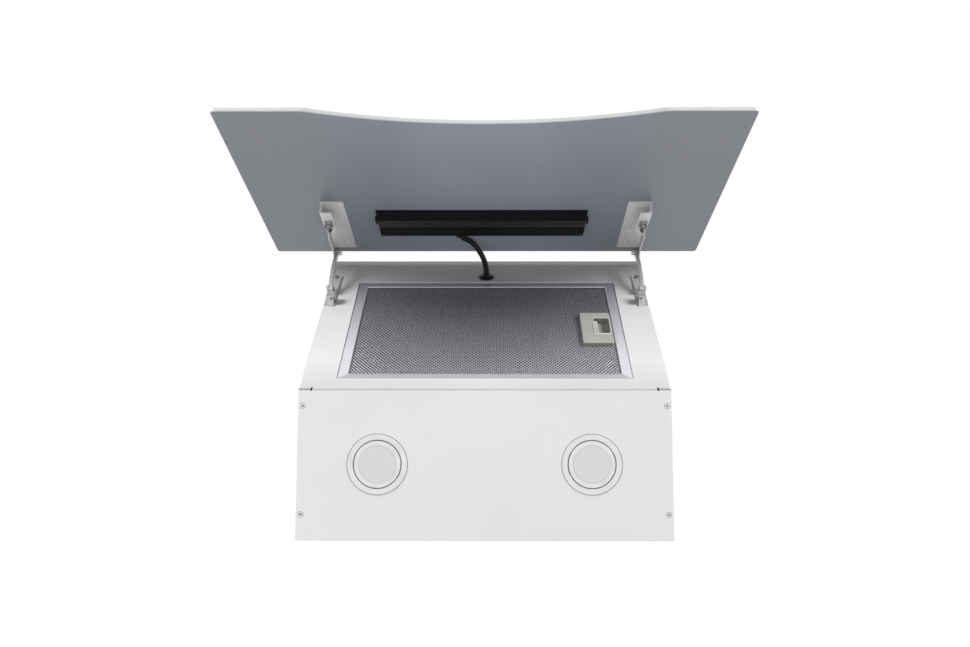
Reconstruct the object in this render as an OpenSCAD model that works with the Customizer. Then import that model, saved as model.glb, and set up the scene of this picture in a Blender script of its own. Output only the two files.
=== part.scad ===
// Inclined wall hood with an opening glass front, shown with the glass open.
// The origin is the centre of the wall bolt pattern, on the wall.
// X runs to the right, Y into the wall and Z up. All sizes are in millimetres.

/* [Body] */
// Width of the steel body
body_w = 438; // [420:1:500]
// Depth of the level lamp plate, from the wall to the fold
plate_depth = 175; // [165:1:200]
// Length of the slanted face above the filter
face_head = 72; // [70:1:90]
// Angle of the slanted face to the level
slope_angle = 55; // [54:1:58]
// Thickness of the body sheet
sheet = 1.2; // [0.8:0.1:1.6]
// Gap along the fold between the slanted face and the lamp plate
fold_gap = 0.4; // [0.3:0.1:1]
// Distance that the lamp plate reaches out under the slanted face
plate_lip = 0.7; // [0.5:0.1:0.8]
// Distance of the two relief notches from the side edges
notch_inset = 15; // [12:1:20]
// Width of the flanges that the lamp plate is screwed to
flange_w = 14; // [12:1:20]
// Distance of the lamp plate's screws from the sides
plate_screw_side = 5.4; // [5:0.1:8]
// Distance of the front screws from the fold
plate_screw_front = 19; // [15:0.5:30]
// Distance of the back screws from the wall
plate_screw_back = 30.2; // [20:0.1:40]

/* [Wall mount] */
// Height of the bolt pattern's centre above the lamp plate
hang_z = 150; // [140:1:170]
// Spacing of the wall bolts across
bolt_span_x = 380; // [340:1:390]
// Spacing of the wall bolts up and down
bolt_span_z = 220; // [180:1:230]
// Radius of the wall bolt holes
bolt_hole_r = 4; // [3:0.5:6]

/* [Glass front] */
// Width of the glass
glass_w = 600; // [560:1:700]
// Length of the glass, from its upper edge to its free edge
glass_len = 421.5; // [400:0.5:460]
// Thickness of the glass
glass_t = 5; // [4:0.5:6]
// Radius of the glass corners
glass_corner_r = 5; // [2:0.5:10]
// Half the length of the hollow in the free edge
wave_half = 199; // [150:1:230]
// Depth of the hollow in the free edge
wave_depth = 30; // [15:1:40]
// Gap between the closed glass and the slanted face
glass_gap = 30; // [29:0.5:34]
// Distance down the slope from the body's top edge to the closed glass
glass_drop = 17; // [12:1:25]
// Angle that the glass is shown open
open_angle = 45; // [30:1:60]

/* [Glass hinges] */
// Distance of the pivot from the upper edge of the glass
pivot_inset = 8; // [7:0.5:10]
// Height of the pivot above the back of the glass
pivot_h = 6; // [6:0.5:7]
// Radius of the pivot pin
pivot_r = 2.5; // [2:0.25:3]
// Running clearance round the pivot pin
pivot_play = 0.05; // [0.02:0.01:0.08]
// Thickness of the swan neck arm
arm_t = 4.5; // [4:0.1:5]
// Height of the swan neck arm
arm_h = 7; // [6:0.5:7.5]
// Distance of the arm's outer side from the side of the body
arm_inset = 3; // [2.9:0.1:8]
// Thickness of the hinge sheet
bracket_t = 1.5; // [1.2:0.1:1.8]
// Width of the bracket on the glass
bracket_w = 30; // [28:1:40]
// Distance of the bracket's far end from the upper edge of the glass
bracket_end = 177; // [172:1:200]
// Distance of the bracket plate's near end from the upper edge of the glass
bracket_start = 20; // [18:1:26]
// Height of the bracket's tab above the glass
tab_h = 14; // [13.5:0.1:14.5]
// Height of the bracket's flange beside the arm
flange_low = 8.5; // [8:0.1:9]
// Distance that the flange is set out to pass the arm
flange_step = 3.7; // [3.5:0.1:4]

/* [Hinge base] */
// Width of the base plate
base_w = 13; // [12.5:0.5:14]
// Thickness of the base plate
base_t = 2; // [1.5:0.1:2.5]
// Distance of the base plate's lower end from the pivot
base_reach = 123; // [121:1:126]
// Distance of the base plate's upper end from the pivot
base_top = 27; // [24:1:30]
// Distance of the base screw from the pivot
base_screw = 34; // [32:1:38]
// Distance of the arm's rivet from the pivot
foot_reach = 83; // [78:1:86]
// Height of the arm's rivet above the face
foot_n = 8; // [8:0.5:9]

/* [Catch] */
// Radius of the catch barrel
catch_r = 4.5; // [4:0.25:5]
// Length of the catch barrel
catch_len = 12.5; // [11:0.5:14]
// Distance of the barrel's free end from the upper edge of the glass
catch_end = 143; // [141:1:145]
// Length of the ball plunger that stands out of the barrel
plunger_len = 4.2; // [3:0.1:5]
// Gap between the closed plunger and its keeper
catch_play = 0.4; // [0.3:0.1:1]
// Height of the keeper above the slanted face
keeper_top = 13; // [12.5:0.1:13.2]
// Length of the keeper
keeper_len = 16; // [12:1:18]

/* [Control box] */
// Width of the control box
box_w = 280; // [240:1:320]
// Offset of the control box from the middle of the glass
box_x = -5.5; // [-10:0.5:10]
// Distance of the control box from the upper edge of the glass
box_start = 80; // [75:1:90]
// Length of the control box down the glass
box_len = 70; // [64:1:80]
// Thickness of the control box
box_h = 15.5; // [14:0.5:18]
// Thickness of the control box at its bevelled end
box_nose = 8.4; // [8.2:0.2:10]
// Slant of each end of the control box
box_draft = 4; // [2:0.5:6]
// Wall of the control box
box_wall = 1.6; // [1.2:0.1:2]

/* [Filter] */
// Width of the filter
filter_w = 355; // [345:1:360]
// Length of the filter along the slope
filter_len = 267; // [260:1:275]
// Thickness of the filter
filter_t = 9; // [9:0.5:10]
// Distance of the filter from the fold
filter_start = 27; // [24:1:32]
// Width of the filter's frame
frame_w = 12.7; // [11:0.1:13.5]
// Depth of the filter below the face
filter_sink = 1; // [0.8:0.1:1.5]
// Play round the filter in its opening
filter_play = 0.5; // [0.3:0.1:0.8]
// Width of the ledge behind the filter
ledge_w = 8; // [6:1:10]
// Columns of openings in the modelled mesh
mesh_cols = 16; // [12:1:17]
// Rows of openings in the modelled mesh
mesh_rows = 17; // [13:2:17]
// Width of the strands in the modelled mesh
strand_w = 2.6; // [2:0.1:3.5]

/* [Filter handle] */
// Width of the handle plate
handle_w = 39; // [38:0.5:42]
// Length of the handle plate along the slope
handle_len = 84; // [78:1:90]
// Distance of the handle plate from the filter's right edge
handle_from_side = 14.5; // [14:0.5:16]
// Distance of the handle plate from the filter's lower edge
handle_from_bottom = 85; // [75:1:95]
// Width of the finger recess
recess_w = 21.5; // [20:0.5:22]
// Length of the finger recess
recess_len = 44; // [40:1:46]
// Travel of the sliding latch
latch_travel = 6; // [5:0.5:6]

/* [Lamps] */
// Distance of each lamp from the middle
lamp_x = 125.2; // [110:0.1:135]
// Distance of the lamps from the wall
lamp_y = 88; // [80:1:95]
// Radius of the lamp bezel
lamp_r = 36; // [34:0.1:38]
// Radius of the lamp's body, where the groove lies
lamp_body_r = 27.8; // [26:0.1:29]
// Radius of the frosted lens
lens_r = 21.8; // [20:0.1:23]
// Height of the lamp's body above the plate
lamp_h = 30; // [25:1:34]
// Gap round the lamp in the plate
lamp_gap = 0.8; // [0.5:0.1:1.2]
// Depth of the groove round the lamp's middle
lamp_groove = 5; // [3:0.5:6]

/* [Fan] */
// Radius of the fan wheel
wheel_r = 70; // [66:1:72]
// Length of the fan wheel
wheel_w = 100; // [90:1:106]
// Number of blades
blades = 36; // [30:2:40]
// Length of a blade along the radius
blade_len = 12; // [10:0.5:13]
// Gap between the wheel and the tongue of the housing
tongue_gap = 8; // [7:0.5:10]
// Growth of the housing's radius over its whole turn
scroll_growth = 46; // [40:1:48]
// Outer width of the fan housing
scroll_w = 120; // [114:1:126]
// Wall of the fan housing
scroll_wall = 1.6; // [1.2:0.1:2]
// Gap between the fan housing and the back panel
scroll_back_gap = 24.8; // [24:0.1:30]
// Depth of the wheel's axis below the top of the body
fan_drop = 100; // [98:1:104]
// Radius of the motor
motor_r = 40; // [36:1:42]
// Length of the motor
motor_len = 66; // [62:1:70]
// Radius of the motor's shaft
shaft_r = 4; // [3:0.5:5]
// Running clearance round the shaft
shaft_play = 0.05; // [0.02:0.01:0.08]

/* [Duct] */
// Outer radius of the duct spigot
duct_r = 59.5; // [55:0.5:60]
// Height of the duct spigot above the top panel
duct_h = 45; // [40:1:60]
// Wall of the duct spigot
duct_wall = 1.5; // [1.2:0.1:2]
// Height of the flap rod above the top panel
flap_z = 12; // [10:1:16]
// Radius of the flap rod
flap_rod_r = 1.5; // [1.5:0.25:2]
// Thickness of the non-return flaps
flap_t = 1.2; // [1:0.1:1.4]

/* [Electrics] */
// Width of the junction box under the mains inlet
terminal_w = 64; // [56:1:68]
// Depth of the junction box
terminal_d = 34; // [30:1:36]
// Height of the junction box
terminal_h = 46; // [40:1:50]
// Distance of the junction box from the top of the body
terminal_drop = 112; // [108:1:130]
// Radius of the motor's capacitor
capacitor_r = 15; // [12:0.5:17]
// Height of the motor's capacitor
capacitor_h = 55; // [45:1:60]
// Distance of the capacitor from the side of the body
capacitor_inset = 60; // [50:1:70]
// Width of the lamp driver
driver_w = 110; // [90:1:120]
// Height of the lamp driver
driver_h = 36; // [30:1:40]
// Depth of the lamp driver
driver_d = 22; // [18:1:24]
// Height of the lamp driver's middle above the lamp plate
driver_z = 48; // [40:1:56]

/* [Hidden] */
$fn = 64;
eps = 0.5;

// Body
half_w = body_w / 2;
inner_w = body_w - 2 * sheet;
slope_len = filter_start + filter_len + face_head;
body_h = slope_len * sin(slope_angle);
flange_end = 6;
notch_w = 2.4;
notch_depth = 1.8;
plate_front = plate_depth + plate_lip;
fold_end = sheet + fold_gap;
corner_gap = 0.8;
plate_screw_x = half_w - plate_screw_side;
plate_screw_y = [plate_depth - plate_screw_front, plate_screw_back];
plate_screw_r = 1.5;
plate_head_r = 3;
plate_head_gap = 0.4;
recess_cross = 3.2;

// Filter and its opening in the slanted face
opening_w = filter_w + 2 * filter_play;
opening_len = filter_len + 2 * filter_play;
opening_start = filter_start - filter_play;
filter_back = -filter_sink - filter_t;
ledge_top = filter_back - 0.3;
groove_depth = 4.3;
mesh_t = 1;
mesh_top = -filter_sink - 1.2;
core_t = 4;
mesh_w = filter_w - 2 * frame_w + 2 * (groove_depth - 0.3);
mesh_len = filter_len - 2 * frame_w + 2 * (groove_depth - 0.3);
net_w = filter_w - 2 * frame_w - 4;
net_len = filter_len - 2 * frame_w - 4;

// Lamp: height that it stands out of the plate, and place of the lens's back
lamp_proud = 0.3;
lens_back = 2.6;

// Handle, its recess and the latch in it, in the frame of the slanted face
handle_x = filter_w / 2 - handle_from_side - handle_w / 2;
handle_s = filter_start + handle_from_bottom + handle_len / 2;
handle_top = 2;
housing_back = -filter_sink - filter_t + 0.8;
recess_x = handle_x + handle_w / 2 - 1.7 - recess_w / 2;
recess_s = handle_s + 5.3;
recess_floor = -6.3;
lip_t = 3;
lip_x = recess_x - recess_w / 2 + 0.3;
latch_w = 20;
latch_t = 1.8;
latch_gap = 0.2;
latch_end = opening_w / 2 + sheet + 4.5;
spring_r = 1.8;
spring_wire_r = 0.35;
spring_turns = 6;
spring_x0 = lip_x - latch_travel - 5.9;
spring_l = lip_x - spring_x0 - 0.1 - 2 * spring_wire_r;
spring_coil_r = spring_r - spring_wire_r;
spring_route = [for (k = [0:12 * spring_turns])
    [spring_x0 + spring_wire_r + spring_l * k / 12 / spring_turns,
        recess_s + spring_coil_r * cos(30 * k), recess_floor + 2.8 + spring_coil_r * sin(30 * k)]];

// Pivot of the glass, along the slope, off the face, and in the upright plane
pivot_s = slope_len - glass_drop - pivot_inset;
pivot_n = glass_gap - pivot_h;
pivot_y = -plate_depth - pivot_s * cos(slope_angle) - pivot_n * sin(slope_angle);
pivot_z = pivot_s * sin(slope_angle) - pivot_n * cos(slope_angle);
arm_x = half_w - arm_inset - arm_t / 2;
arm_eye_r = 5.5;
flange_gap = 0.3;
flange_x = arm_x + arm_t / 2 + flange_gap;
pin_head_r = 3.6;
pin_head_t = 1;
pin_end_r = 2.6;
pin_end_l = 5;
ear_t = 1.6;
base_x = arm_x + arm_t / 2 + ear_t + 0.3 - base_w / 2;
ear_r = 5;
rivet_r = 2;
foot_s = pivot_s - foot_reach;
screw_head_r = 3.4;
screw_head_h = 1.8;

// Catch: the plunger of the closed barrel meets the socket in the keeper's lower face
far_flange_x = flange_x - flange_step;
catch_x = far_flange_x - catch_r - 0.4;
catch_h = tab_h + bracket_t + catch_r;
catch_n = glass_gap - catch_h;
catch_tip = catch_end - catch_len - plunger_len;
keeper_w = 10.5;
keeper_x = catch_x + 2;
keeper_start = pivot_s + pivot_inset - catch_tip + catch_play;
plunger_r = 1.8;

// Bracket: tab and step along the glass, and holes as distance from the plate's inner edge, place and radius
tab_w = bracket_t + 13.6;
tab_end = bracket_end - 2;
tab_start = catch_end - catch_len - 20;
step_end = tab_start - 9;
step_start = step_end - 28;
bracket_holes = [[11.2, 80, 1.3], [8.2, 80.8, 0.9], [19.9, 51.3, 1.3], [9.4, 42.2, 1.2], [9.4, 40.2, 1.2]];

// Width of each end cap of the control box, and inset of its board
cap_w = 8;
board_inset = 10;

// Cable, and its bore in the grommet
cable_r = 3.75;
grommet_s = opening_start + opening_len + 17;
grommet_r = 10.9;
grommet_neck_r = 8;
cable_x = -34.5;
cable_h = 4.1;
gland_box_h = 8.8;
gland_len = 6;
cable_route = [[-34.5, -404.4, 196], [-34.5, -403.2, 203], [-33, -402, 210], [-29, -400.9, 216.5],
    [-23, -399.3, 222], [-17, -395.5, 226.5], [-11, -388.5, 231], [-5.5, -380, 236.2],
    [-1.8, -371.3, 242.4], [0, -361.9, 249.4], [0, -353.7, 255.2], [0, -348.8, 258.6]];

// Fan: the housing's spiral starts at the tongue and ends where its outlet rises
tongue_angle = 70;
spiral_turn = 360 - tongue_angle;
scroll_r0 = wheel_r + tongue_gap;
scroll_r1 = scroll_r0 + scroll_growth + scroll_wall;
fan_y = -(sheet + scroll_back_gap + scroll_r1);
fan_z = body_h - fan_drop;
inlet_r = wheel_r - 9;
outlet_back = fan_y + scroll_r1;
outlet_front = fan_y + scroll_r0 * cos(tongue_angle) - scroll_wall;
duct_y = (outlet_back + outlet_front) / 2;
scroll_top = body_h - sheet;
scroll_flange = 12;
motor_x = 5;
gland_x = half_w - 45;
gland_y = -55;
gland_r = 8;
gland_bore = 4.5;
gland_h = 20;
terminal_z = body_h - terminal_drop;
flap_axis_z = body_h + flap_z;
flap_r = duct_r - duct_wall - 1.5;
knuckle_r = flap_rod_r + 1.3;
flap_edge = knuckle_r + 0.6;
front_knuckle_x = 40;
back_knuckle_x = 15;

// Functions for tubes swept along a route
function unit(v) = v / norm(v);
function tangent(p, i) = unit(p[min(i + 1, len(p) - 1)] - p[max(i - 1, 0)]);
function side_of(t, ref) = unit(cross(t, ref));
function ring(p, i, r, sides, ref) =
    let (t = tangent(p, i), a = side_of(t, ref), b = cross(t, a))
    [for (k = [0:sides - 1]) p[i] + r * (a * cos(360 * k / sides) + b * sin(360 * k / sides))];

// Least gap between the turns of a tube, on points that lie at least half a turn apart
function least_gap(p, r, apart) =
    min([for (i = [0:len(p) - 1], j = [i + apart:1:len(p) - 1]) norm(p[i] - p[j])]) - 2 * r;

// Turns the frame of the lamp plate's wall corner into the part's own frame
module placed() {
    translate([0, 0, -hang_z]) children();
}

// X, distance up the slope and height off the slanted face
module on_slope() {
    translate([0, -plate_depth, 0]) rotate([180 - slope_angle, 0, 0]) children();
}

// X, distance down the glass from its upper edge and height off its back
module on_glass() {
    translate([0, pivot_y, pivot_z])
        rotate([-slope_angle - open_angle, 0, 0])
            translate([0, -pivot_inset, -pivot_h])
                children();
}

// Extrudes an outline drawn in Y and Z along X, centred
module along_x(w) {
    rotate([90, 0, 90]) linear_extrude(height = w, center = true) children();
}

// A box given by its centre in X and Y and its lowest face
module block(x, y, z, size) {
    translate([x - size[0] / 2, y - size[1] / 2, z]) cube(size);
}

// A cylinder that lies along X, centred
module rod_x(r, w) {
    rotate([0, 90, 0]) cylinder(r = r, h = w, center = true);
}

// A plate with round corners, in X and Y
module round_plate(w, l, t, r) {
    linear_extrude(height = t) {
        square([w - 2 * r, l], center = true);
        square([w, l - 2 * r], center = true);
        for (sx = [-1, 1], sy = [-1, 1]) translate([sx * (w / 2 - r), sy * (l / 2 - r)]) circle(r = r);
    }
}

// A tube of the given radius along a route
module tube_along(p, r, sides, ref) {
    n = len(p);
    points = [for (i = [0:n - 1]) each ring(p, i, r, sides, ref)];
    start = [for (k = [0:sides - 1]) k];
    end = [for (k = [sides - 1:-1:0]) (n - 1) * sides + k];
    walls = [for (i = [0:n - 2], k = [0:sides - 1])
        let (m = (k + 1) % sides) each [
            [i * sides + k, (i + 1) * sides + k, (i + 1) * sides + m],
            [i * sides + k, (i + 1) * sides + m, i * sides + m]]];
    polyhedron(points = points, faces = concat([start, end], walls));
}

// Outline of the body from the side, with every wall drawn in by t
function section(t) = [
    [-t, t],
    [-plate_depth - t / tan(slope_angle) + t / sin(slope_angle), t],
    [-plate_depth - (body_h - t) / tan(slope_angle) + t / sin(slope_angle), body_h - t],
    [-t, body_h - t]];

module side_panel(side) {
    color("white") {
        difference() {
            translate([side * (half_w - sheet / 2), 0, 0]) along_x(sheet) polygon(section(0));
            cube([2 * body_w, 4 * plate_depth, 2 * sheet], center = true);
        }
        side_flange(side);
    }
}

// Inward flange along the foot of a side, which takes the lamp plate's screws
module side_flange(side) {
    flange_l = plate_front - 2 * flange_end;
    difference() {
        block(side * (half_w - sheet - flange_w / 2), -plate_front / 2, sheet, [flange_w, flange_l, sheet]);
        for (y = plate_screw_y)
            translate([side * plate_screw_x, -y, 0]) cylinder(r = plate_screw_r + 0.1, h = 4 * sheet);
    }
}

module face_panel() {
    color("white") {
        difference() {
            intersection() {
                along_x(inner_w) polygon(section(0));
                on_slope() block(0, slope_len / 2, -sheet, [inner_w, slope_len + 4 * sheet, sheet]);
            }
            cube([2 * body_w, 4 * plate_depth, 2 * fold_end], center = true);
            on_slope() {
                block(0, opening_start + opening_len / 2, -2 * sheet, [opening_w, opening_len, 4 * sheet]);
                translate([0, grommet_s, -2 * sheet]) cylinder(r = grommet_neck_r + 0.1, h = 4 * sheet);
                for (side = [-1, 1]) {
                    block(side * (half_w - notch_inset), 0, -2 * sheet, [notch_w, 2 * (fold_end + notch_depth) / cos(slope_angle), 4 * sheet]);
                    translate([side * base_x, pivot_s - base_screw, -2 * sheet])
                        cylinder(r = rivet_r + 0.1, h = 4 * sheet);
                }
            }
        }
        on_slope() filter_well();
    }
}

// Walls round the filter's opening and the ledge that the filter lies against
module filter_well() {
    well_s = opening_start + opening_len / 2;
    well_depth = -sheet / 2 - ledge_top;
    difference() {
        block(0, well_s, ledge_top - sheet,
            [opening_w + 2 * sheet, opening_len + 2 * sheet, well_depth + sheet]);
        block(0, well_s, ledge_top, [opening_w, opening_len, 2 * well_depth]);
        block(0, well_s, ledge_top - 2 * sheet,
            [opening_w - 2 * ledge_w, opening_len - 2 * ledge_w, 4 * sheet]);
        block(opening_w / 2, recess_s, recess_floor - latch_t - 0.4, [4 * sheet, latch_w + 2, latch_t + 0.8]);
    }
}

module back_panel() {
    color("gainsboro")
        difference() {
            block(0, -sheet / 2, sheet, [inner_w, sheet, body_h - sheet]);
            for (sx = [-1, 1], sz = [-1, 1])
                translate([sx * bolt_span_x / 2, 0, hang_z + sz * bolt_span_z / 2])
                    rotate([90, 0, 0]) cylinder(r = bolt_hole_r, h = 4 * sheet, center = true);
        }
}

module top_panel() {
    inner = section(sheet);
    outer = section(0);
    front_low = inner[2];
    front_high = [outer[2][0] + sheet / sin(slope_angle), body_h];
    color("gainsboro")
        difference() {
            along_x(inner_w) polygon([[-sheet, body_h - sheet], front_low, front_high, [-sheet, body_h]]);
            translate([0, duct_y, body_h]) cylinder(r = duct_r - duct_wall, h = 4 * sheet, center = true);
            translate([gland_x, gland_y, body_h]) cylinder(r = gland_r + 0.1, h = 4 * sheet, center = true);
        }
}

module light_plate() {
    color("white")
        difference() {
            block(0, -plate_front / 2, 0, [body_w, plate_front, sheet]);
            for (side = [-1, 1]) {
                translate([side * lamp_x, -lamp_y, 0]) cylinder(r = lamp_r + lamp_gap, h = 4 * sheet, center = true);
                block(side * (half_w - notch_inset), -plate_front, -sheet, [notch_w, 2 * notch_depth, 4 * sheet]);
                block(side * (half_w - notch_inset / 2), -plate_front, -sheet, [notch_inset, 2 * corner_gap, 4 * sheet]);
                for (y = plate_screw_y)
                    translate([side * plate_screw_x, -y, 0])
                        cylinder(r1 = plate_head_r + plate_head_gap, r2 = plate_screw_r + plate_head_gap, h = sheet);
            }
        }
}

module light_plate_screws() {
    color("silver")
        for (side = [-1, 1], y = plate_screw_y)
            translate([side * plate_screw_x, -y, 0]) {
                difference() {
                    union() {
                        cylinder(r1 = plate_head_r, r2 = plate_screw_r, h = sheet);
                        cylinder(r = plate_screw_r, h = 5 * sheet);
                    }
                    block(0, 0, -1, [recess_cross, 0.9, 2]);
                    block(0, 0, -1, [0.9, recess_cross, 2]);
                }
            }
}

// Turned ring of a lamp: flush in the plate, with a groove, a flange that lies on the plate and a tube behind it
module lamp_bezel(side) {
    groove_in = lamp_body_r - 0.6;
    groove_out = lamp_body_r + 0.8;
    tube_in = lens_r + 1.5;
    neck = tube_in + 2.5;
    flange_r = lamp_r + 4;
    flange_top = sheet + 1.5;
    color("white")
        translate([side * lamp_x, -lamp_y, 0])
            rotate_extrude($fn = 96)
                polygon([[lens_r + 0.2, -lamp_proud], [groove_in, -lamp_proud], [groove_in, lamp_groove],
                    [groove_out, lamp_groove], [groove_out, -lamp_proud], [lamp_r, -lamp_proud],
                    [lamp_r, sheet], [flange_r, sheet], [flange_r, flange_top],
                    [groove_out + 1.2, flange_top], [groove_out + 1.2, lamp_groove + 2], [neck, lamp_groove + 4],
                    [neck, lamp_h / 2], [tube_in, lamp_h / 2], [tube_in, lens_back], [lens_r + 0.2, lens_back]]);
}

module lamp_lens(side) {
    color("whitesmoke")
        translate([side * lamp_x, -lamp_y, 0]) {
            translate([0, 0, -lamp_proud]) cylinder(r = lens_r, h = lens_back + lamp_proud);
            translate([0, 0, lens_back]) cylinder(r = lens_r + 1.3, h = 1.2);
        }
}

module lamp_board(side) {
    color("khaki")
        translate([side * lamp_x, -lamp_y, 0]) {
            translate([0, 0, lamp_h * 0.5 - 2]) cylinder(r = lens_r + 1.2, h = 2);
            for (a = [0:60:300])
                rotate(a) block(12, 0, lamp_h * 0.5 - 2.8, [3, 3, 0.8]);
        }
}

// Heat sink behind a lamp, with ribs round a core
module lamp_can(side) {
    can_z = lamp_h * 0.5;
    color("lightslategray")
        translate([side * lamp_x, -lamp_y, can_z]) {
            cylinder(r = lamp_body_r, h = 3);
            cylinder(r = 14, h = lamp_h - can_z);
            for (a = [0:22.5:337.5])
                rotate(a) block(lamp_body_r / 2 + 5, 0, 0, [lamp_body_r - 12, 1.4, lamp_h - can_z]);
        }
}

module filter_frame() {
    rail_s = filter_start + filter_len / 2;
    inside_w = filter_w - 2 * frame_w;
    inside_len = filter_len - 2 * frame_w;
    lip = 1.1;
    color("silver")
        on_slope()
            difference() {
                block(0, rail_s, filter_back, [filter_w, filter_len, filter_t]);
                block(0, rail_s, filter_back - 1, [inside_w, inside_len, filter_t + 2]);
                block(0, rail_s, mesh_top - mesh_t * 2 - core_t - 0.3,
                    [inside_w + 2 * groove_depth, inside_len + 2 * groove_depth, core_t + 2 * mesh_t + 0.6]);
                block(filter_w / 2, recess_s, recess_floor - latch_t - 0.2,
                    [2 * frame_w + 4, latch_w + 1, latch_t + 0.4]);
                for (side = [-1, 1]) {
                    translate([0, rail_s + side * inside_len / 2, -filter_sink])
                        rotate([45, 0, 0]) cube([inside_w, lip, lip], center = true);
                    translate([side * inside_w / 2, rail_s, -filter_sink])
                        rotate([0, 45, 0]) cube([lip, inside_len, lip], center = true);
                    for (end = [-1, 1])
                        translate([side * (filter_w - frame_w) / 2, rail_s + end * (filter_len - frame_w) / 2, -filter_sink])
                            rotate(45 * side * end) cube([frame_w * sqrt(2) - 2, 0.4, 0.6], center = true);
                }
            }
}

// Sheet of stretched diamond openings with a hole for the handle
module net_sheet(z) {
    pitch_x = net_w / mesh_cols;
    pitch_s = net_len / mesh_rows;
    centre_s = filter_start + filter_len / 2;
    half_x = (pitch_x - strand_w) / 2;
    half_s = pitch_s - strand_w;
    on_slope()
        translate([0, 0, z])
            linear_extrude(height = mesh_t)
                difference() {
                    translate([0, centre_s]) square([mesh_w, mesh_len], center = true);
                    translate([handle_x, handle_s]) square([handle_w - 1.6, handle_len - 1.6], center = true);
                    for (j = [0:mesh_rows - 1], i = [0:mesh_cols - 1 - j % 2]) {
                        x = (i - (mesh_cols - 1) / 2 + (j % 2) / 2) * pitch_x;
                        s = centre_s + (j - (mesh_rows - 1) / 2) * pitch_s;
                        near = abs(x - handle_x) < handle_w / 2 + half_x && abs(s - handle_s) < handle_len / 2 + half_s;
                        edge = abs(s - centre_s) > net_len / 2 - half_s;
                        if (!near && !edge)
                            translate([x, s]) polygon([[-half_x, 0], [0, -half_s], [half_x, 0], [0, half_s]]);
                    }
                }
}

module filter_mesh() {
    color("gray") net_sheet(mesh_top - mesh_t);
}

module filter_back_mesh() {
    color("gray")
        difference() {
            net_sheet(mesh_top - 2 * mesh_t - core_t - 0.2);
            on_slope() latch_channel();
        }
}

// Way for the latch's tongue from the handle to the filter's right edge
module latch_channel() {
    block(handle_x + filter_w / 4, recess_s, -2 * filter_t, [filter_w / 2, latch_w + 2, 2 * filter_t + recess_floor + 0.3]);
}

module filter_core() {
    color("dimgray")
        on_slope()
            difference() {
                block(0, filter_start + filter_len / 2, mesh_top - mesh_t - core_t - 0.1, [mesh_w, mesh_len, core_t]);
                block(handle_x, handle_s, -filter_t * 2, [handle_w - 1.6, handle_len - 1.6, filter_t * 3]);
                latch_channel();
            }
}

// Two sprung tabs that hold the filter's left edge behind the opening
module filter_tabs() {
    tab_len = 22;
    foot_w = 4.4;
    reach = 6;
    tab_top = ledge_top - sheet - 0.4;
    foot_x = -opening_w / 2 + ledge_w + 0.4 + foot_w / 2;
    color("silver")
        on_slope()
            for (k = [0.25, 0.75]) {
                block(foot_x, filter_start + filter_len * k, tab_top - 1, [foot_w, tab_len, filter_back - tab_top + 1]);
                block(foot_x - reach / 2, filter_start + filter_len * k, tab_top - 1, [foot_w + reach, tab_len, 1]);
            }
}

// Handle plate with a finger recess over the cavity that the latch slides in
module filter_handle() {
    cavity_x0 = lip_x - latch_travel - 0.5;
    cavity_x1 = recess_x + recess_w / 2;
    color([0.75, 0.74, 0.71])
        on_slope()
            difference() {
                union() {
                    translate([handle_x, handle_s, mesh_top]) round_plate(handle_w, handle_len, handle_top - mesh_top, 3);
                    block(handle_x, handle_s, housing_back, [handle_w - 2, handle_len - 2, mesh_top - housing_back + eps]);
                }
                translate([recess_x, recess_s, recess_floor])
                    round_plate(recess_w, recess_len, handle_top - recess_floor + 1, 4);
                translate([cavity_x0, recess_s - recess_len / 2 + 3.5, recess_floor])
                    cube([cavity_x1 - cavity_x0 - 2, recess_len - 7, -recess_floor - 0.3]);
                translate([cavity_x0 - 5.5, recess_s - 2.3, recess_floor + 0.5]) cube([6, 4.6, 4.6]);
                translate([cavity_x0, recess_s - latch_w / 2 - latch_gap, recess_floor - latch_t - latch_gap])
                    cube([handle_w, latch_w + 2 * latch_gap, latch_t + latch_gap + 0.01]);
            }
}

// Sliding latch: a finger lip on a tongue that reaches behind the edge of the opening
module filter_latch() {
    lip_len = recess_len - 8;
    color([0.82, 0.81, 0.78])
        on_slope() {
            translate([lip_x, recess_s - lip_len / 2, recess_floor + 0.2]) cube([lip_t, lip_len, -recess_floor - 0.8]);
            translate([lip_x, recess_s - latch_w / 2, recess_floor - latch_t])
                cube([latch_end - lip_x, latch_w, latch_t - 0.1]);
            translate([lip_x, recess_s - latch_w / 2, recess_floor - 0.2]) cube([lip_t, latch_w, 0.5]);
        }
}

// Coil spring that pushes the latch out
module latch_spring() {
    color("silver") on_slope() tube_along(spring_route, spring_wire_r, 6, [1, 0, 0]);
}

// Side outline of the fan housing's inside, grown by t
function scroll_outline(t, top) =
    let (n = 30, front = scroll_r0 * cos(tongue_angle) - t, start = acos(front / (scroll_r0 + t)))
    concat(
        [for (i = [0:n])
            let (a = start + (360 - start) * i / n, r = scroll_r0 + t + scroll_growth * (a - tongue_angle) / spiral_turn)
            [fan_y + r * cos(a), fan_z + r * sin(a)]],
        [[fan_y + scroll_r0 + scroll_growth + t, top], [fan_y + front, top]]);

// Spiral wall of the fan housing
module fan_scroll() {
    color("lightgray")
        difference() {
            along_x(scroll_w - 2 * scroll_wall) polygon(scroll_outline(scroll_wall, scroll_top - scroll_wall));
            along_x(scroll_w) polygon(scroll_outline(0, scroll_top + 1));
        }
}

// Side of the fan housing, with its round inlet
module fan_side(side) {
    color("lightgray")
        difference() {
            translate([side * (scroll_w - scroll_wall) / 2, 0, 0])
                along_x(scroll_wall) polygon(scroll_outline(scroll_wall, scroll_top - scroll_wall));
            translate([0, fan_y, fan_z]) rod_x(inlet_r, 2 * scroll_w);
        }
}

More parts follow.
